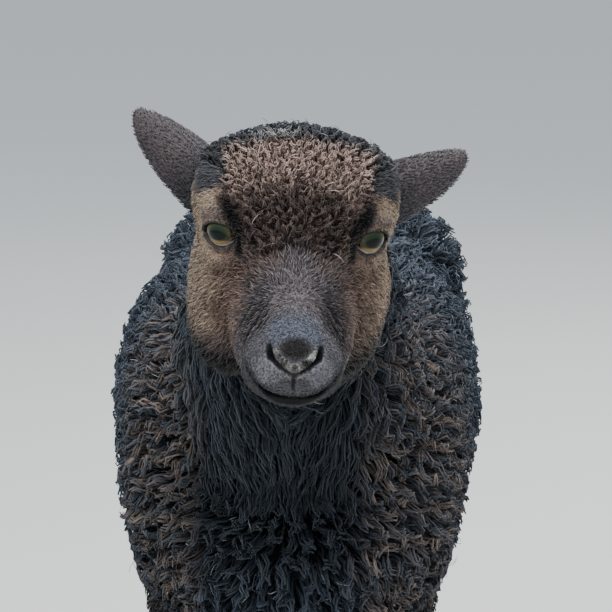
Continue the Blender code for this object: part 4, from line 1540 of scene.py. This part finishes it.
def level(value: float | bool) -> Measure:
    """A measure that is the same everywhere."""
    return lambda points: np.full(len(points), value)


def turn_share(across: np.ndarray, up: np.ndarray) -> np.ndarray:
    """How far round an axis places lie, as a share of a full turn."""
    return np.arctan2(across, up) / (2 * math.pi) + 0.5


def banded(places: np.ndarray, low: float, height: float) -> np.ndarray:
    """Places of a unit square, in one level band of the map for baking."""
    return places * (0.98, height) + (0.01, low)


def lying(
    roots: np.ndarray, normals: np.ndarray, reach: np.ndarray, lift: np.ndarray,
    bend: tuple[float, float],
) -> np.ndarray:
    """The paths of hairs that lie along a surface.

    Args:
        roots: Where they grow, as rows.
        normals: The surface's normals there.
        reach: The way from each root to under its tip.
        lift: How high each tip stands.
        bend: The share of reach and of lift at the middle of a hair.

    Returns:
        Three points for each hair.
    """
    middle = roots + reach * bend[0] + normals * lift * bend[1]
    return np.stack([roots - normals * ROOT_DEPTH, middle, roots + reach + normals * lift], axis=1)


@dataclass
class Coat:
    """All that grows on the skin: fleece, curls of the forehead, and short hair."""

    form: LambForm
    marking: Marking
    skin: bpy.types.Mesh
    fleece_locks: Locks = Locks(0.0032, 0.0084, 0.00165, 0.0026, 7)
    forehead_locks: Locks = Locks(0.00165, 0.0040, 0.00074, 0.00115, 17, 0.0010)
    face_hairs: Hairs = Hairs(0.00168, 0.00060, 27)
    leg_hairs: Hairs = Hairs(0.0042, 0.0013, 37)
    leg_hair_length: float = 0.0090
    leg_hair_lift: float = 0.0019
    stray_hairs: Hairs = Hairs(0.0142, 0.00034, 47)
    stray_length: tuple[float, float] = (0.006, 0.013)
    bare_nostril: float = 0.0013
    bare_rim: float = 0.0020
    bare_lid: float = 0.0019
    neckline: float = 0.002
    face_end: float = 0.006
    fleece_hem: float = 0.245
    lowest_fleece: float = 0.19

    def unwrap(self, points: np.ndarray) -> np.ndarray:
        """Places on an unwrap of head, trunk and legs, each round its own axis.

        Args:
            points: Places, as rows.

        Returns:
            Places on the map for baking, as rows.
        """
        local = self.form.to_head(points)
        x, y, z = points.T
        around = turn_share(local[:, 0], local[:, 2] + 0.02)
        head = np.stack([around, (local[:, 1] + 0.12) / 0.20], axis=1)
        axis = np.interp(y, (-0.26, -0.125, 0.25), (0.45, 0.34, 0.33))
        trunk = np.stack([turn_share(x, z - axis), (y + 0.32) / 0.64], axis=1)
        left, fore = x > 0.003, y < self.form.mid_length
        around = turn_share(x - np.where(left, 0.055, -0.055), y - np.where(fore, -0.120, 0.195))
        legs = np.stack([(left * 1 + fore * 2 + around) / 4, z / 0.27], axis=1)
        on_leg = (z < 0.225)[:, None]
        on_head = (self.form.behind_head(points) < 0.0)[:, None]
        atlas = np.where(on_head, banded(head, 0.26, 0.29), banded(trunk, 0.56, 0.42))
        return np.clip(np.where(on_leg, banded(legs, 0.01, 0.24), atlas), 0.005, 0.995)

    def curled(self, inside: Measure, locks: Locks) -> Tufts:
        """Locks that rise in clumps and wind into small curls at the top.

        Args:
            inside: Where they grow.
            locks: Their sizes.

        Returns:
            The locks.
        """
        scatter = Scatter(self.skin, locks.seed)
        centres, up = scatter.even(locks.clump, inside)
        roots, normals = scatter.even(locks.spacing, inside)
        tree = KDTree(len(centres))
        for number, centre in enumerate(centres):
            tree.insert(centre, number)
        tree.balance()
        owner = np.array([tree.find(root)[1] for root in roots])
        draw = np.random.default_rng(locks.seed + 1)
        total = len(roots)
        straight = self.straightness(centres)[owner][:, None]
        depth = np.maximum(-self.form.outer(centres) + locks.overshoot, 0.002)
        depth = (depth * draw.uniform(0.86, 1.10, len(centres)))[owner][:, None]
        depth = depth * draw.uniform(0.90, 1.08, (total, 1))
        phase = draw.uniform(0, 2 * math.pi, len(centres))[owner] + draw.normal(0, 0.50, total)
        way = np.where(draw.random(len(centres)) < 0.5, 1.0, -1.0)[owner]
        wide = draw.uniform(0.75, 1.25, len(centres))[owner][:, None] * locks.radius
        wide = wide * draw.uniform(0.85, 1.15, (total, 1)) * (1.0 - 0.55 * straight)
        centre, top = centres[owner], up[owner]
        lie = self.form.lie(centre, top)
        down = flattened(np.tile((0.0, -0.25, -1.0), (total, 1)), top)
        lie = unit(lie * (1.0 - straight) + down * straight)
        across = np.cross(top, lie)
        path = []
        for rise, gather, turn, swell, lean, fall in LOCK_STEPS:
            gather = gather * (1.0 - 0.55 * straight)
            point = roots * (1 - gather) + centre * gather
            point = point + (normals * (1 - gather) + top * gather) * depth * rise
            point = point + lie * depth * (lean * (1 - straight) + fall * straight)
            angle = (phase + way * turn)[:, None]
            point = point + (lie * np.cos(angle) + across * np.sin(angle)) * wide * swell
            path.append(point)
        colours = self.marking.at(roots) * draw.uniform(0.70, 1.40, len(centres))[owner][:, None]
        colours = colours * draw.uniform(0.80, 1.25, (total, 1))
        widths = locks.width * draw.uniform(0.75, 1.20, total)
        profile = (0.90, 1.0, 1.0, 0.90, 0.68)
        return Tufts(np.stack(path, axis=1), widths, colours, self.unwrap(roots), profile, 0.30)

    def straightness(self, points: np.ndarray) -> np.ndarray:
        """How straight the wool hangs, which it does on the throat, where it is longer.

        Args:
            points: Places, as rows.

        Returns:
            How straight the wool hangs, up to 0.7 on the throat.
        """
        x, y, z = points.T
        throat = ramp(np.abs(x + 0.008), 0.052, 0.030) * ramp(z, 0.300, 0.345)
        return 0.7 * throat * ramp(y, -0.165, -0.195) * ramp(z, 0.450, 0.425)

    def combed(self, inside: Measure, hairs: Hairs, lengths: Measure, lifts: Measure) -> Tufts:
        """Short hairs that lie along the coat.

        Args:
            inside: Where they grow.
            hairs: Their sizes.
            lengths: How long a hair is, from its root's place.
            lifts: How high its tip stands over the skin.

        Returns:
            The hairs.
        """
        roots, normals = Scatter(self.skin, hairs.seed).even(hairs.spacing, inside)
        draw = np.random.default_rng(hairs.seed + 1)
        total = len(roots)
        lie = self.form.lie(roots, normals)
        across = np.cross(normals, lie)
        x, y, z = roots.T
        ripple = np.sin(x * 900 + z * 500) + np.sin(y * 800 - z * 700)
        whorl = np.linalg.norm(self.form.to_head(roots) - self.form.whorl, axis=1)
        loose = 0.22 + 0.75 * ramp(whorl, 0.016, 0.002)
        swing = (0.28 * ripple + draw.normal(0, 1.0, total) * loose)[:, None]
        lie = unit(lie + across * swing)
        length = (lengths(roots) * draw.uniform(0.7, 1.2, total))[:, None]
        lift = (lifts(roots) * draw.uniform(0.6, 1.3, total))[:, None]
        paths = lying(roots, normals, lie * length, lift, (0.45, 0.8))
        colours = self.marking.at(roots) * draw.uniform(0.45, 1.65, (total, 1))
        widths = hairs.width * draw.uniform(0.7, 1.2, total)
        return Tufts(paths, widths, colours, self.unwrap(roots), (0.8, 1.0), 0.6)

    def strays(self) -> Tufts:
        """Single hairs that stand out of fleece and poll, a few of them pale.

        Returns:
            The hairs.
        """
        hairs = self.stray_hairs
        roots, normals = Scatter(self.skin, hairs.seed).even(hairs.spacing, self.furry)
        draw = np.random.default_rng(hairs.seed + 1)
        total = len(roots)
        base = roots - normals * (self.form.outer(roots) * 0.75)[:, None]
        aside = flattened(draw.normal(0, 1.0, (total, 3)), normals)
        length = draw.uniform(*self.stray_length, (total, 1))
        path = [
            base + length * (normals * (0.95 * t - 0.50 * t * t) + aside * (0.2 * t + 0.6 * t * t))
            for t in (0.0, 0.25, 0.5, 0.75, 1.0)
        ]
        pale = (draw.random((total, 1)) < 0.12) * draw.uniform(0.15, 0.40, (total, 1))
        colours = self.marking.at(roots) * 1.5 + pale
        widths = np.full(total, hairs.width)
        return Tufts(np.stack(path, axis=1), widths, colours, self.unwrap(roots), (1.0,) * 4, 0.9)

    def bare(self, points: np.ndarray) -> np.ndarray:
        """Where no hair grows: round the lids, on the nose, in nostrils and on the lips.

        Args:
            points: Places, as rows.

        Returns:
            A truth value for each place.
        """
        local = self.form.to_head(points)
        slots = blended(local, self.form.nostrils(), self.form.groove_blend)
        rims = blended(local, both_sides(self.form.rims()), self.form.rim_blend)
        line = self.form.mouth_line(local)
        lips = (line < 0.0014) & (line > -0.0075) & (local[:, 1] < self.form.mouth_corner)
        lids = self.form.lid_openings(local) < self.bare_lid
        return (slots < self.bare_nostril) | (rims < self.bare_rim) | lips | lids

    def woolly(self, points: np.ndarray) -> np.ndarray:
        """Where the fleece grows: neck, trunk, tail and the tops of the legs.

        Args:
            points: Places, as rows.

        Returns:
            A truth value for each place.
        """
        back = self.form.behind_head(points) > self.neckline
        off_legs = self.form.leg_distance(points) + self.form.leg_depth > 0.0012
        height = points[:, 2]
        return back & ((height > self.fleece_hem) | off_legs) & (height > self.lowest_fleece)

    def face(self, points: np.ndarray) -> np.ndarray:
        """Where short hair grows on the head."""
        curls = self.form.forehead(self.form.to_head(points)) > 0.55
        return (self.form.behind_head(points) < self.face_end) & ~curls & ~self.bare(points)

    def curls(self, points: np.ndarray) -> np.ndarray:
        """Where the small curls of forehead and poll grow."""
        curls = self.form.forehead(self.form.to_head(points)) > 0.45
        return (self.form.behind_head(points) < self.face_end) & curls & ~self.bare(points)

    def furry(self, points: np.ndarray) -> np.ndarray:
        """Where single hairs stand out."""
        return self.woolly(points) | self.curls(points)

    def legs(self, points: np.ndarray) -> np.ndarray:
        """Where short hair grows on the legs."""
        return (self.form.behind_head(points) > self.neckline) & ~self.woolly(points)

    def face_length(self, points: np.ndarray) -> np.ndarray:
        """The length of the face's hair: short on the muzzle and round the eyes.

        Args:
            points: Places, as rows.

        Returns:
            A length for each place.
        """
        local = self.form.to_head(points)
        y, z = local[:, 1], local[:, 2]
        length = 0.0016 + 0.0046 * ramp(y, -0.085, -0.035) - 0.0008 * ramp(y, -0.086, -0.092)
        eyes = ramp(self.form.from_eyes(local), 0.0155, 0.0270)
        length = length * (0.30 + 0.70 * eyes)
        whorl = np.linalg.norm(local - self.form.whorl, axis=1)
        length = length * (0.45 + 0.55 * ramp(whorl, 0.002, 0.014))
        return length + 0.006 * ramp(z, -0.058, -0.078)

    def face_lift(self, points: np.ndarray) -> np.ndarray:
        """How high the tips of the face's hair stand."""
        return np.clip(-self.form.outer(points) * 0.60, 0.0004, 0.006)

    def build(self) -> None:
        """Makes and dresses every piece of the coat."""
        wool = CoatFinish(
            "black_wool", roughness=0.75, stripes=3.0, bump=0.0003, sheen=0.30,
            sheen_tint=(0.56, 0.67, 0.84), specular=0.12, contrast=0.20,
        ).make()
        curl = CoatFinish(
            "brown_curls", stripes=2.0, bump=0.0002, sheen=0.08, sheen_tint=(0.9, 0.8, 0.75)
        ).make()
        hair = CoatFinish(
            "short_hair", roughness=0.5, sheen=0.05, sheen_tint=(0.85, 0.8, 0.78)
        ).make()
        length, lift = level(self.leg_hair_length), level(self.leg_hair_lift)
        sets = (
            ("fleece", Slot.FLEECE, wool, self.curled(self.woolly, self.fleece_locks)),
            ("forehead_curls", Slot.FACE, curl, self.curled(self.curls, self.forehead_locks)),
            ("face_hair", Slot.FACE, hair, self.combed(
                self.face, self.face_hairs, self.face_length, self.face_lift)),
            ("leg_hair", Slot.LEG, hair, self.combed(self.legs, self.leg_hairs, length, lift)),
            ("stray_hairs", Slot.FLEECE, hair, self.strays()),
        )
        for name, slot, finish, tufts in sets:
            for piece in tufts.pieces(name):
                dress(piece, self.form, finish, slot)


@dataclass
class Ear:
    """One ear: a leaf rolled into a cup, on a bulb, with its short hair."""

    form: LambForm
    side: Side
    way: Triple
    length: float = 0.0675
    half_girth: float = 0.033
    thickness: float = 0.0026
    roll_root: float = 112.0
    roll_tip: float = 60.0
    bulb_radius: float = 0.0135
    root: Triple = (0.046, 0.048, 0.009)
    opening: Triple = (0.0, 0.75, -0.70)
    dark: Triple = (0.022, 0.018, 0.020)
    light: Triple = (0.066, 0.050, 0.050)
    hairs: Hairs = Hairs(0.00175, 0.00062, 40)
    hair_length: tuple[float, float] = (0.0026, 0.0046)
    hair_lift: tuple[float, float] = (0.0004, 0.0012)

    def leaf_point(self, share: float, turn: float) -> Vector:
        """A point of the leaf, with its axis along Z and its opening towards -Y.

        Args:
            share: The point's way from root to tip, from 0 to 1.
            turn: Its way round the roll, from -1 to 1.

        Returns:
            The point, in the leaf's own axes.
        """
        roll = math.radians(self.roll_root + (self.roll_tip - self.roll_root) * share)
        radius = self.half_girth * (1.0 - share) ** 0.56 / roll
        out, back = math.sin(turn * roll), 1.0 - math.cos(turn * roll)
        return Vector((radius * out, -radius * back, share * self.length))

    def axes(self) -> Matrix:
        """The place of the leaf's own axes on the lamb.

        Returns:
            A matrix from the leaf's axes to the lamb's.
        """
        axis = Vector(self.way).normalized()
        front = Vector(self.opening)
        front = (front - axis * front.dot(axis)).normalized()
        turn = Matrix(((-front).cross(axis), -front, axis)).transposed().to_4x4()
        local = np.array([[self.side.value * self.root[0], self.root[1], self.root[2]]])
        return moved_to(self.form.from_head(local)[0]) @ turn

    def build(self) -> bpy.types.Object:
        """The leaf and its bulb.

        Returns:
            The ear's object, in the lamb's own place.
        """
        shape = bmesh.new()
        bmesh.ops.create_grid(shape, x_segments=18, y_segments=20, size=1.0)
        for vertex in shape.verts:
            share = 1.0 - ((1.0 - vertex.co.y) / 2.0) ** 1.5
            vertex.co = self.leaf_point(share, vertex.co.x)
        bmesh.ops.remove_doubles(shape, verts=shape.verts, dist=1e-5)
        bmesh.ops.recalc_face_normals(shape, faces=shape.faces)
        piece = add_object(f"ear_{self.side.word}_leaf", as_mesh(shape, "ear"))
        wall = piece.modifiers.new("wall", "SOLIDIFY")
        wall.thickness = self.thickness
        wall.offset = 0.0
        smooth = piece.modifiers.new("smooth", "SUBSURF")
        smooth.levels = smooth.render_levels = 1
        baked(piece)
        bulb = bmesh.new()
        bulb.from_mesh(piece.data)
        middle = Matrix.Translation((0.0, -self.bulb_radius * 0.7, 0.004))
        at = middle @ Matrix.Diagonal((1, 0.9, 1.2, 1))
        bmesh.ops.create_icosphere(bulb, subdivisions=4, radius=self.bulb_radius, matrix=at)
        bmesh.ops.transform(bulb, matrix=self.axes(), verts=bulb.verts)
        bulb.to_mesh(piece.data)
        bulb.free()
        piece.data.shade_smooth()
        return piece

    def to_leaf(self, points: np.ndarray) -> np.ndarray:
        """Points of the lamb in the leaf's own axes."""
        axes = np.array(self.axes().inverted())
        return points @ axes[:3, :3].T + axes[:3, 3]

    def colour(self, points: np.ndarray) -> np.ndarray:
        """The colour at points of the ear, which is darker at the root."""
        share = ramp(self.to_leaf(points)[:, 2], 0.002, 0.030)[:, None]
        return np.array(self.dark) * (1 - share) + np.array(self.light) * share

    def hair(self, mesh: bpy.types.Mesh) -> Tufts:
        """Short hair that lies towards the tip.

        Args:
            mesh: The ear's mesh.

        Returns:
            The hairs.
        """
        seed = self.hairs.seed + self.side.value
        roots, normals = Scatter(mesh, seed).even(self.hairs.spacing, level(True))
        draw = np.random.default_rng(seed)
        total = len(roots)
        x, y, z = self.to_leaf(roots).T
        to_tip = np.tile(np.array(self.axes())[:3, 2], (total, 1))
        lie = flattened(to_tip + draw.normal(0, 0.22, (total, 3)), normals)
        short = (0.45 + 0.55 * ramp(z, 0.062, 0.045))[:, None]
        length = draw.uniform(*self.hair_length, (total, 1)) * short
        lift = draw.uniform(*self.hair_lift, (total, 1))
        paths = lying(roots, normals, lie * length, lift, (0.5, 1.0))
        colours = self.colour(roots) * draw.uniform(0.6, 1.5, (total, 1))
        spots = np.stack([turn_share(x, y + 0.012), (z + 0.012) / 0.080], axis=1)
        widths = np.full(total, self.hairs.width)
        return Tufts(paths, widths, colours, np.clip(spots, 0.01, 0.99), (0.8, 1.0), 0.6)

    def dress(self, finish: bpy.types.Material, hair: bpy.types.Material) -> None:
        """Builds the ear, and gives leaf and hair their finishes.

        Args:
            finish: The material of the leaf.
            hair: The material of the hair.
        """
        word = self.side.word
        leaf = self.build()
        tufts = self.hair(leaf.data)
        paint(leaf.data, self.colour(corners(leaf.data)) * 0.8)
        dress(leaf, self.form, finish, Slot.EAR, f"ear_{word}")
        for piece in tufts.pieces(f"ear_{word}_hair"):
            dress(piece, self.form, hair, Slot.EAR)


@dataclass
class Eye:
    """One eyeball with a raised cornea."""

    form: LambForm
    side: Side
    bulge: float = 0.0009
    bulge_reach: float = 0.0085

    def build(self, finish: bpy.types.Material) -> None:
        """Makes and dresses the eyeball.

        Args:
            finish: The wet eye's material.
        """
        shape = bmesh.new()
        bmesh.ops.create_uvsphere(shape, u_segments=80, v_segments=56, radius=self.form.eye_radius)
        for vertex in shape.verts:
            across = math.hypot(vertex.co.x, vertex.co.y) / self.bulge_reach
            if vertex.co.z > 0 and across < 1.0:
                vertex.co.z += self.bulge * (1.0 - across**2) ** 1.5
        mesh = as_mesh(shape, "eye")
        plane = mesh.attributes.new("eye", "FLOAT_VECTOR", "POINT")
        points = corners(mesh)
        axes = self.form.eye_axes(self.side.value)
        centre = self.form.eye_centre(self.side.value)
        placed = points @ axes[[1, 2, 0]] + centre
        flat = points * (1.0, 1.0, 0.0) + (points[:, 2:3] < 0) * (0.02, 0.0, 0.0)
        flat[:, 2] = self.form.lid_openings(placed)
        plane.data.foreach_set("vector", flat.astype(np.float32).ravel())
        look, across, rise = axes @ self.form.turn.T
        middle = self.form.from_head(centre[None])[0]
        turn = Matrix((across, rise, look)).transposed().to_4x4()
        mesh.transform(moved_to(middle) @ turn)
        mesh.shade_smooth()
        word = self.side.word
        piece = add_object(f"eyeball_{word}", mesh)
        if mesh.polygons[0].normal.dot(mesh.polygons[0].center - Vector(middle.tolist())) < 0:
            mesh.flip_normals()
        dress(piece, self.form, finish, Slot.EYE, f"eye_{word}")


@dataclass
class Studio:
    """A plain pale floor, soft light from above and the photograph's camera."""

    form: LambForm
    view_width: float = 0.335
    frame_pixels: int = 612
    head_pixel: tuple[float, float] = (295.5, 240.0)
    pitch: float = 10.0
    distance: float = 1.8
    sensor: float = 36.0
    floor: Triple = (0.62, 0.61, 0.58)
    floor_reach: float = 8.0
    sky: Triple = (0.80, 0.90, 1.0)
    sky_strength: float = 0.95

    def build(self) -> None:
        """Adds floor, lights, sky and camera."""
        shape = bmesh.new()
        bmesh.ops.create_grid(shape, x_segments=1, y_segments=1, size=self.floor_reach)
        ground = add_object("floor", as_mesh(shape, "floor"))
        pale = Finish("pale_floor", {"Base Color": (*self.floor, 1.0), "Roughness": 0.9})
        ground.data.materials.append(pale.material)
        world = bpy.data.worlds.new("soft_sky")
        world.use_nodes = True
        sky = world.node_tree.nodes["Background"]
        sky.inputs["Color"].default_value = (*self.sky, 1.0)
        sky.inputs["Strength"].default_value = self.sky_strength
        bpy.context.scene.world = world
        self.light("above", (0.3, -0.5, 2.4), 2.2, 70.0)
        self.light("front", (-1.6, -1.7, 2.5), 1.4, 40.0)
        self.light("rim", (1.2, 1.6, 1.8), 1.4, 36.0)
        self.camera()

    def light(self, name: str, where: Triple, size: float, power: float) -> None:
        """Adds a square soft light that faces the lamb.

        Args:
            name: The light's name.
            where: Its place.
            size: The length of its side.
            power: Its power in watts.
        """
        lamp = bpy.data.lights.new(name, "AREA")
        lamp.size = size
        lamp.energy = power
        holder = add_object(name, lamp)
        holder.location = where
        holder.rotation_mode = "QUATERNION"
        way = Vector((0.0, -0.1, 0.35)) - Vector(where)
        holder.rotation_quaternion = way.to_track_quat("-Z", "Y")

    def camera(self) -> None:
        """Adds the photograph's camera, which looks a little down at the lamb's face."""
        pitch = math.radians(self.pitch)
        ahead = Vector((0.0, math.cos(pitch), -math.sin(pitch)))
        up = Vector((0.0, math.sin(pitch), math.cos(pitch)))
        scale = self.view_width / self.frame_pixels
        middle = self.frame_pixels / 2
        target = Vector((np.array(self.form.head_origin) + self.form.shift).tolist())
        target -= Vector((1.0, 0.0, 0.0)) * (self.head_pixel[0] - middle) * scale
        target -= up * (middle - self.head_pixel[1]) * scale
        lens = bpy.data.cameras.new("photo")
        lens.sensor_width = self.sensor
        lens.lens = self.sensor * self.distance / self.view_width
        camera = add_object("photo", lens)
        camera.location = target - ahead * self.distance
        camera.rotation_mode = "QUATERNION"
        camera.rotation_quaternion = ahead.to_track_quat("-Z", "Y")
        bpy.context.scene.camera = camera


def flesh_nodes() -> list[str]:
    """The CAD nodes that the skin stands for.

    Returns:
        Their names.
    """
    legs = [
        f"{leg}_{side.word}_{part}"
        for leg in ("foreleg", "hindleg")
        for side in Side
        for part in ("upper", "lower")
    ]
    return ["torso", "neck", "head", "tail", *legs]


def dress_hooves() -> None:
    """Gives the CAD hooves their horn."""
    horn = HornFinish().make()
    for name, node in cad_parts.items():
        if "hoof" in name:
            for slot in node.material_slots:
                slot.material = horn


def main() -> None:
    """Builds and dresses the lamb, then lights it."""
    logging.basicConfig(level=logging.INFO, format="%(message)s")
    form = LambForm()
    marking = Marking(form)
    skin = Skin(form).build()
    coat = Coat(form, marking, skin.data)
    coat.build()
    points = corners(skin.data)
    wool = ramp(form.behind_head(points), 0.0, 0.01)[:, None]
    paint(skin.data, marking.at(points) * (0.75 - 0.35 * wool))
    skin.data.shade_smooth()
    hide = CoatFinish(
        "skin", roughness=0.6, sheen=0.0, bump=0.0006, specular=0.04, contrast=0.7
    ).make()
    dress(skin, form, hide, Slot.FACE, *flesh_nodes())
    ear_skin = CoatFinish("ear_skin", roughness=0.6, bump=0.0004).make()
    ear_hair = CoatFinish("ear_hair", roughness=0.5, sheen=0.15).make()
    Ear(form, Side.LEFT, (0.0420, 0.0367, 0.0085)).dress(ear_skin, ear_hair)
    Ear(form, Side.RIGHT, (-0.0375, 0.0340, 0.0250)).dress(ear_skin, ear_hair)
    wet = EyeFinish().make()
    for side in Side:
        Eye(form, side).build(wet)
    dress_hooves()
    Studio(form).build()


if __name__ == "__main__":
    main()
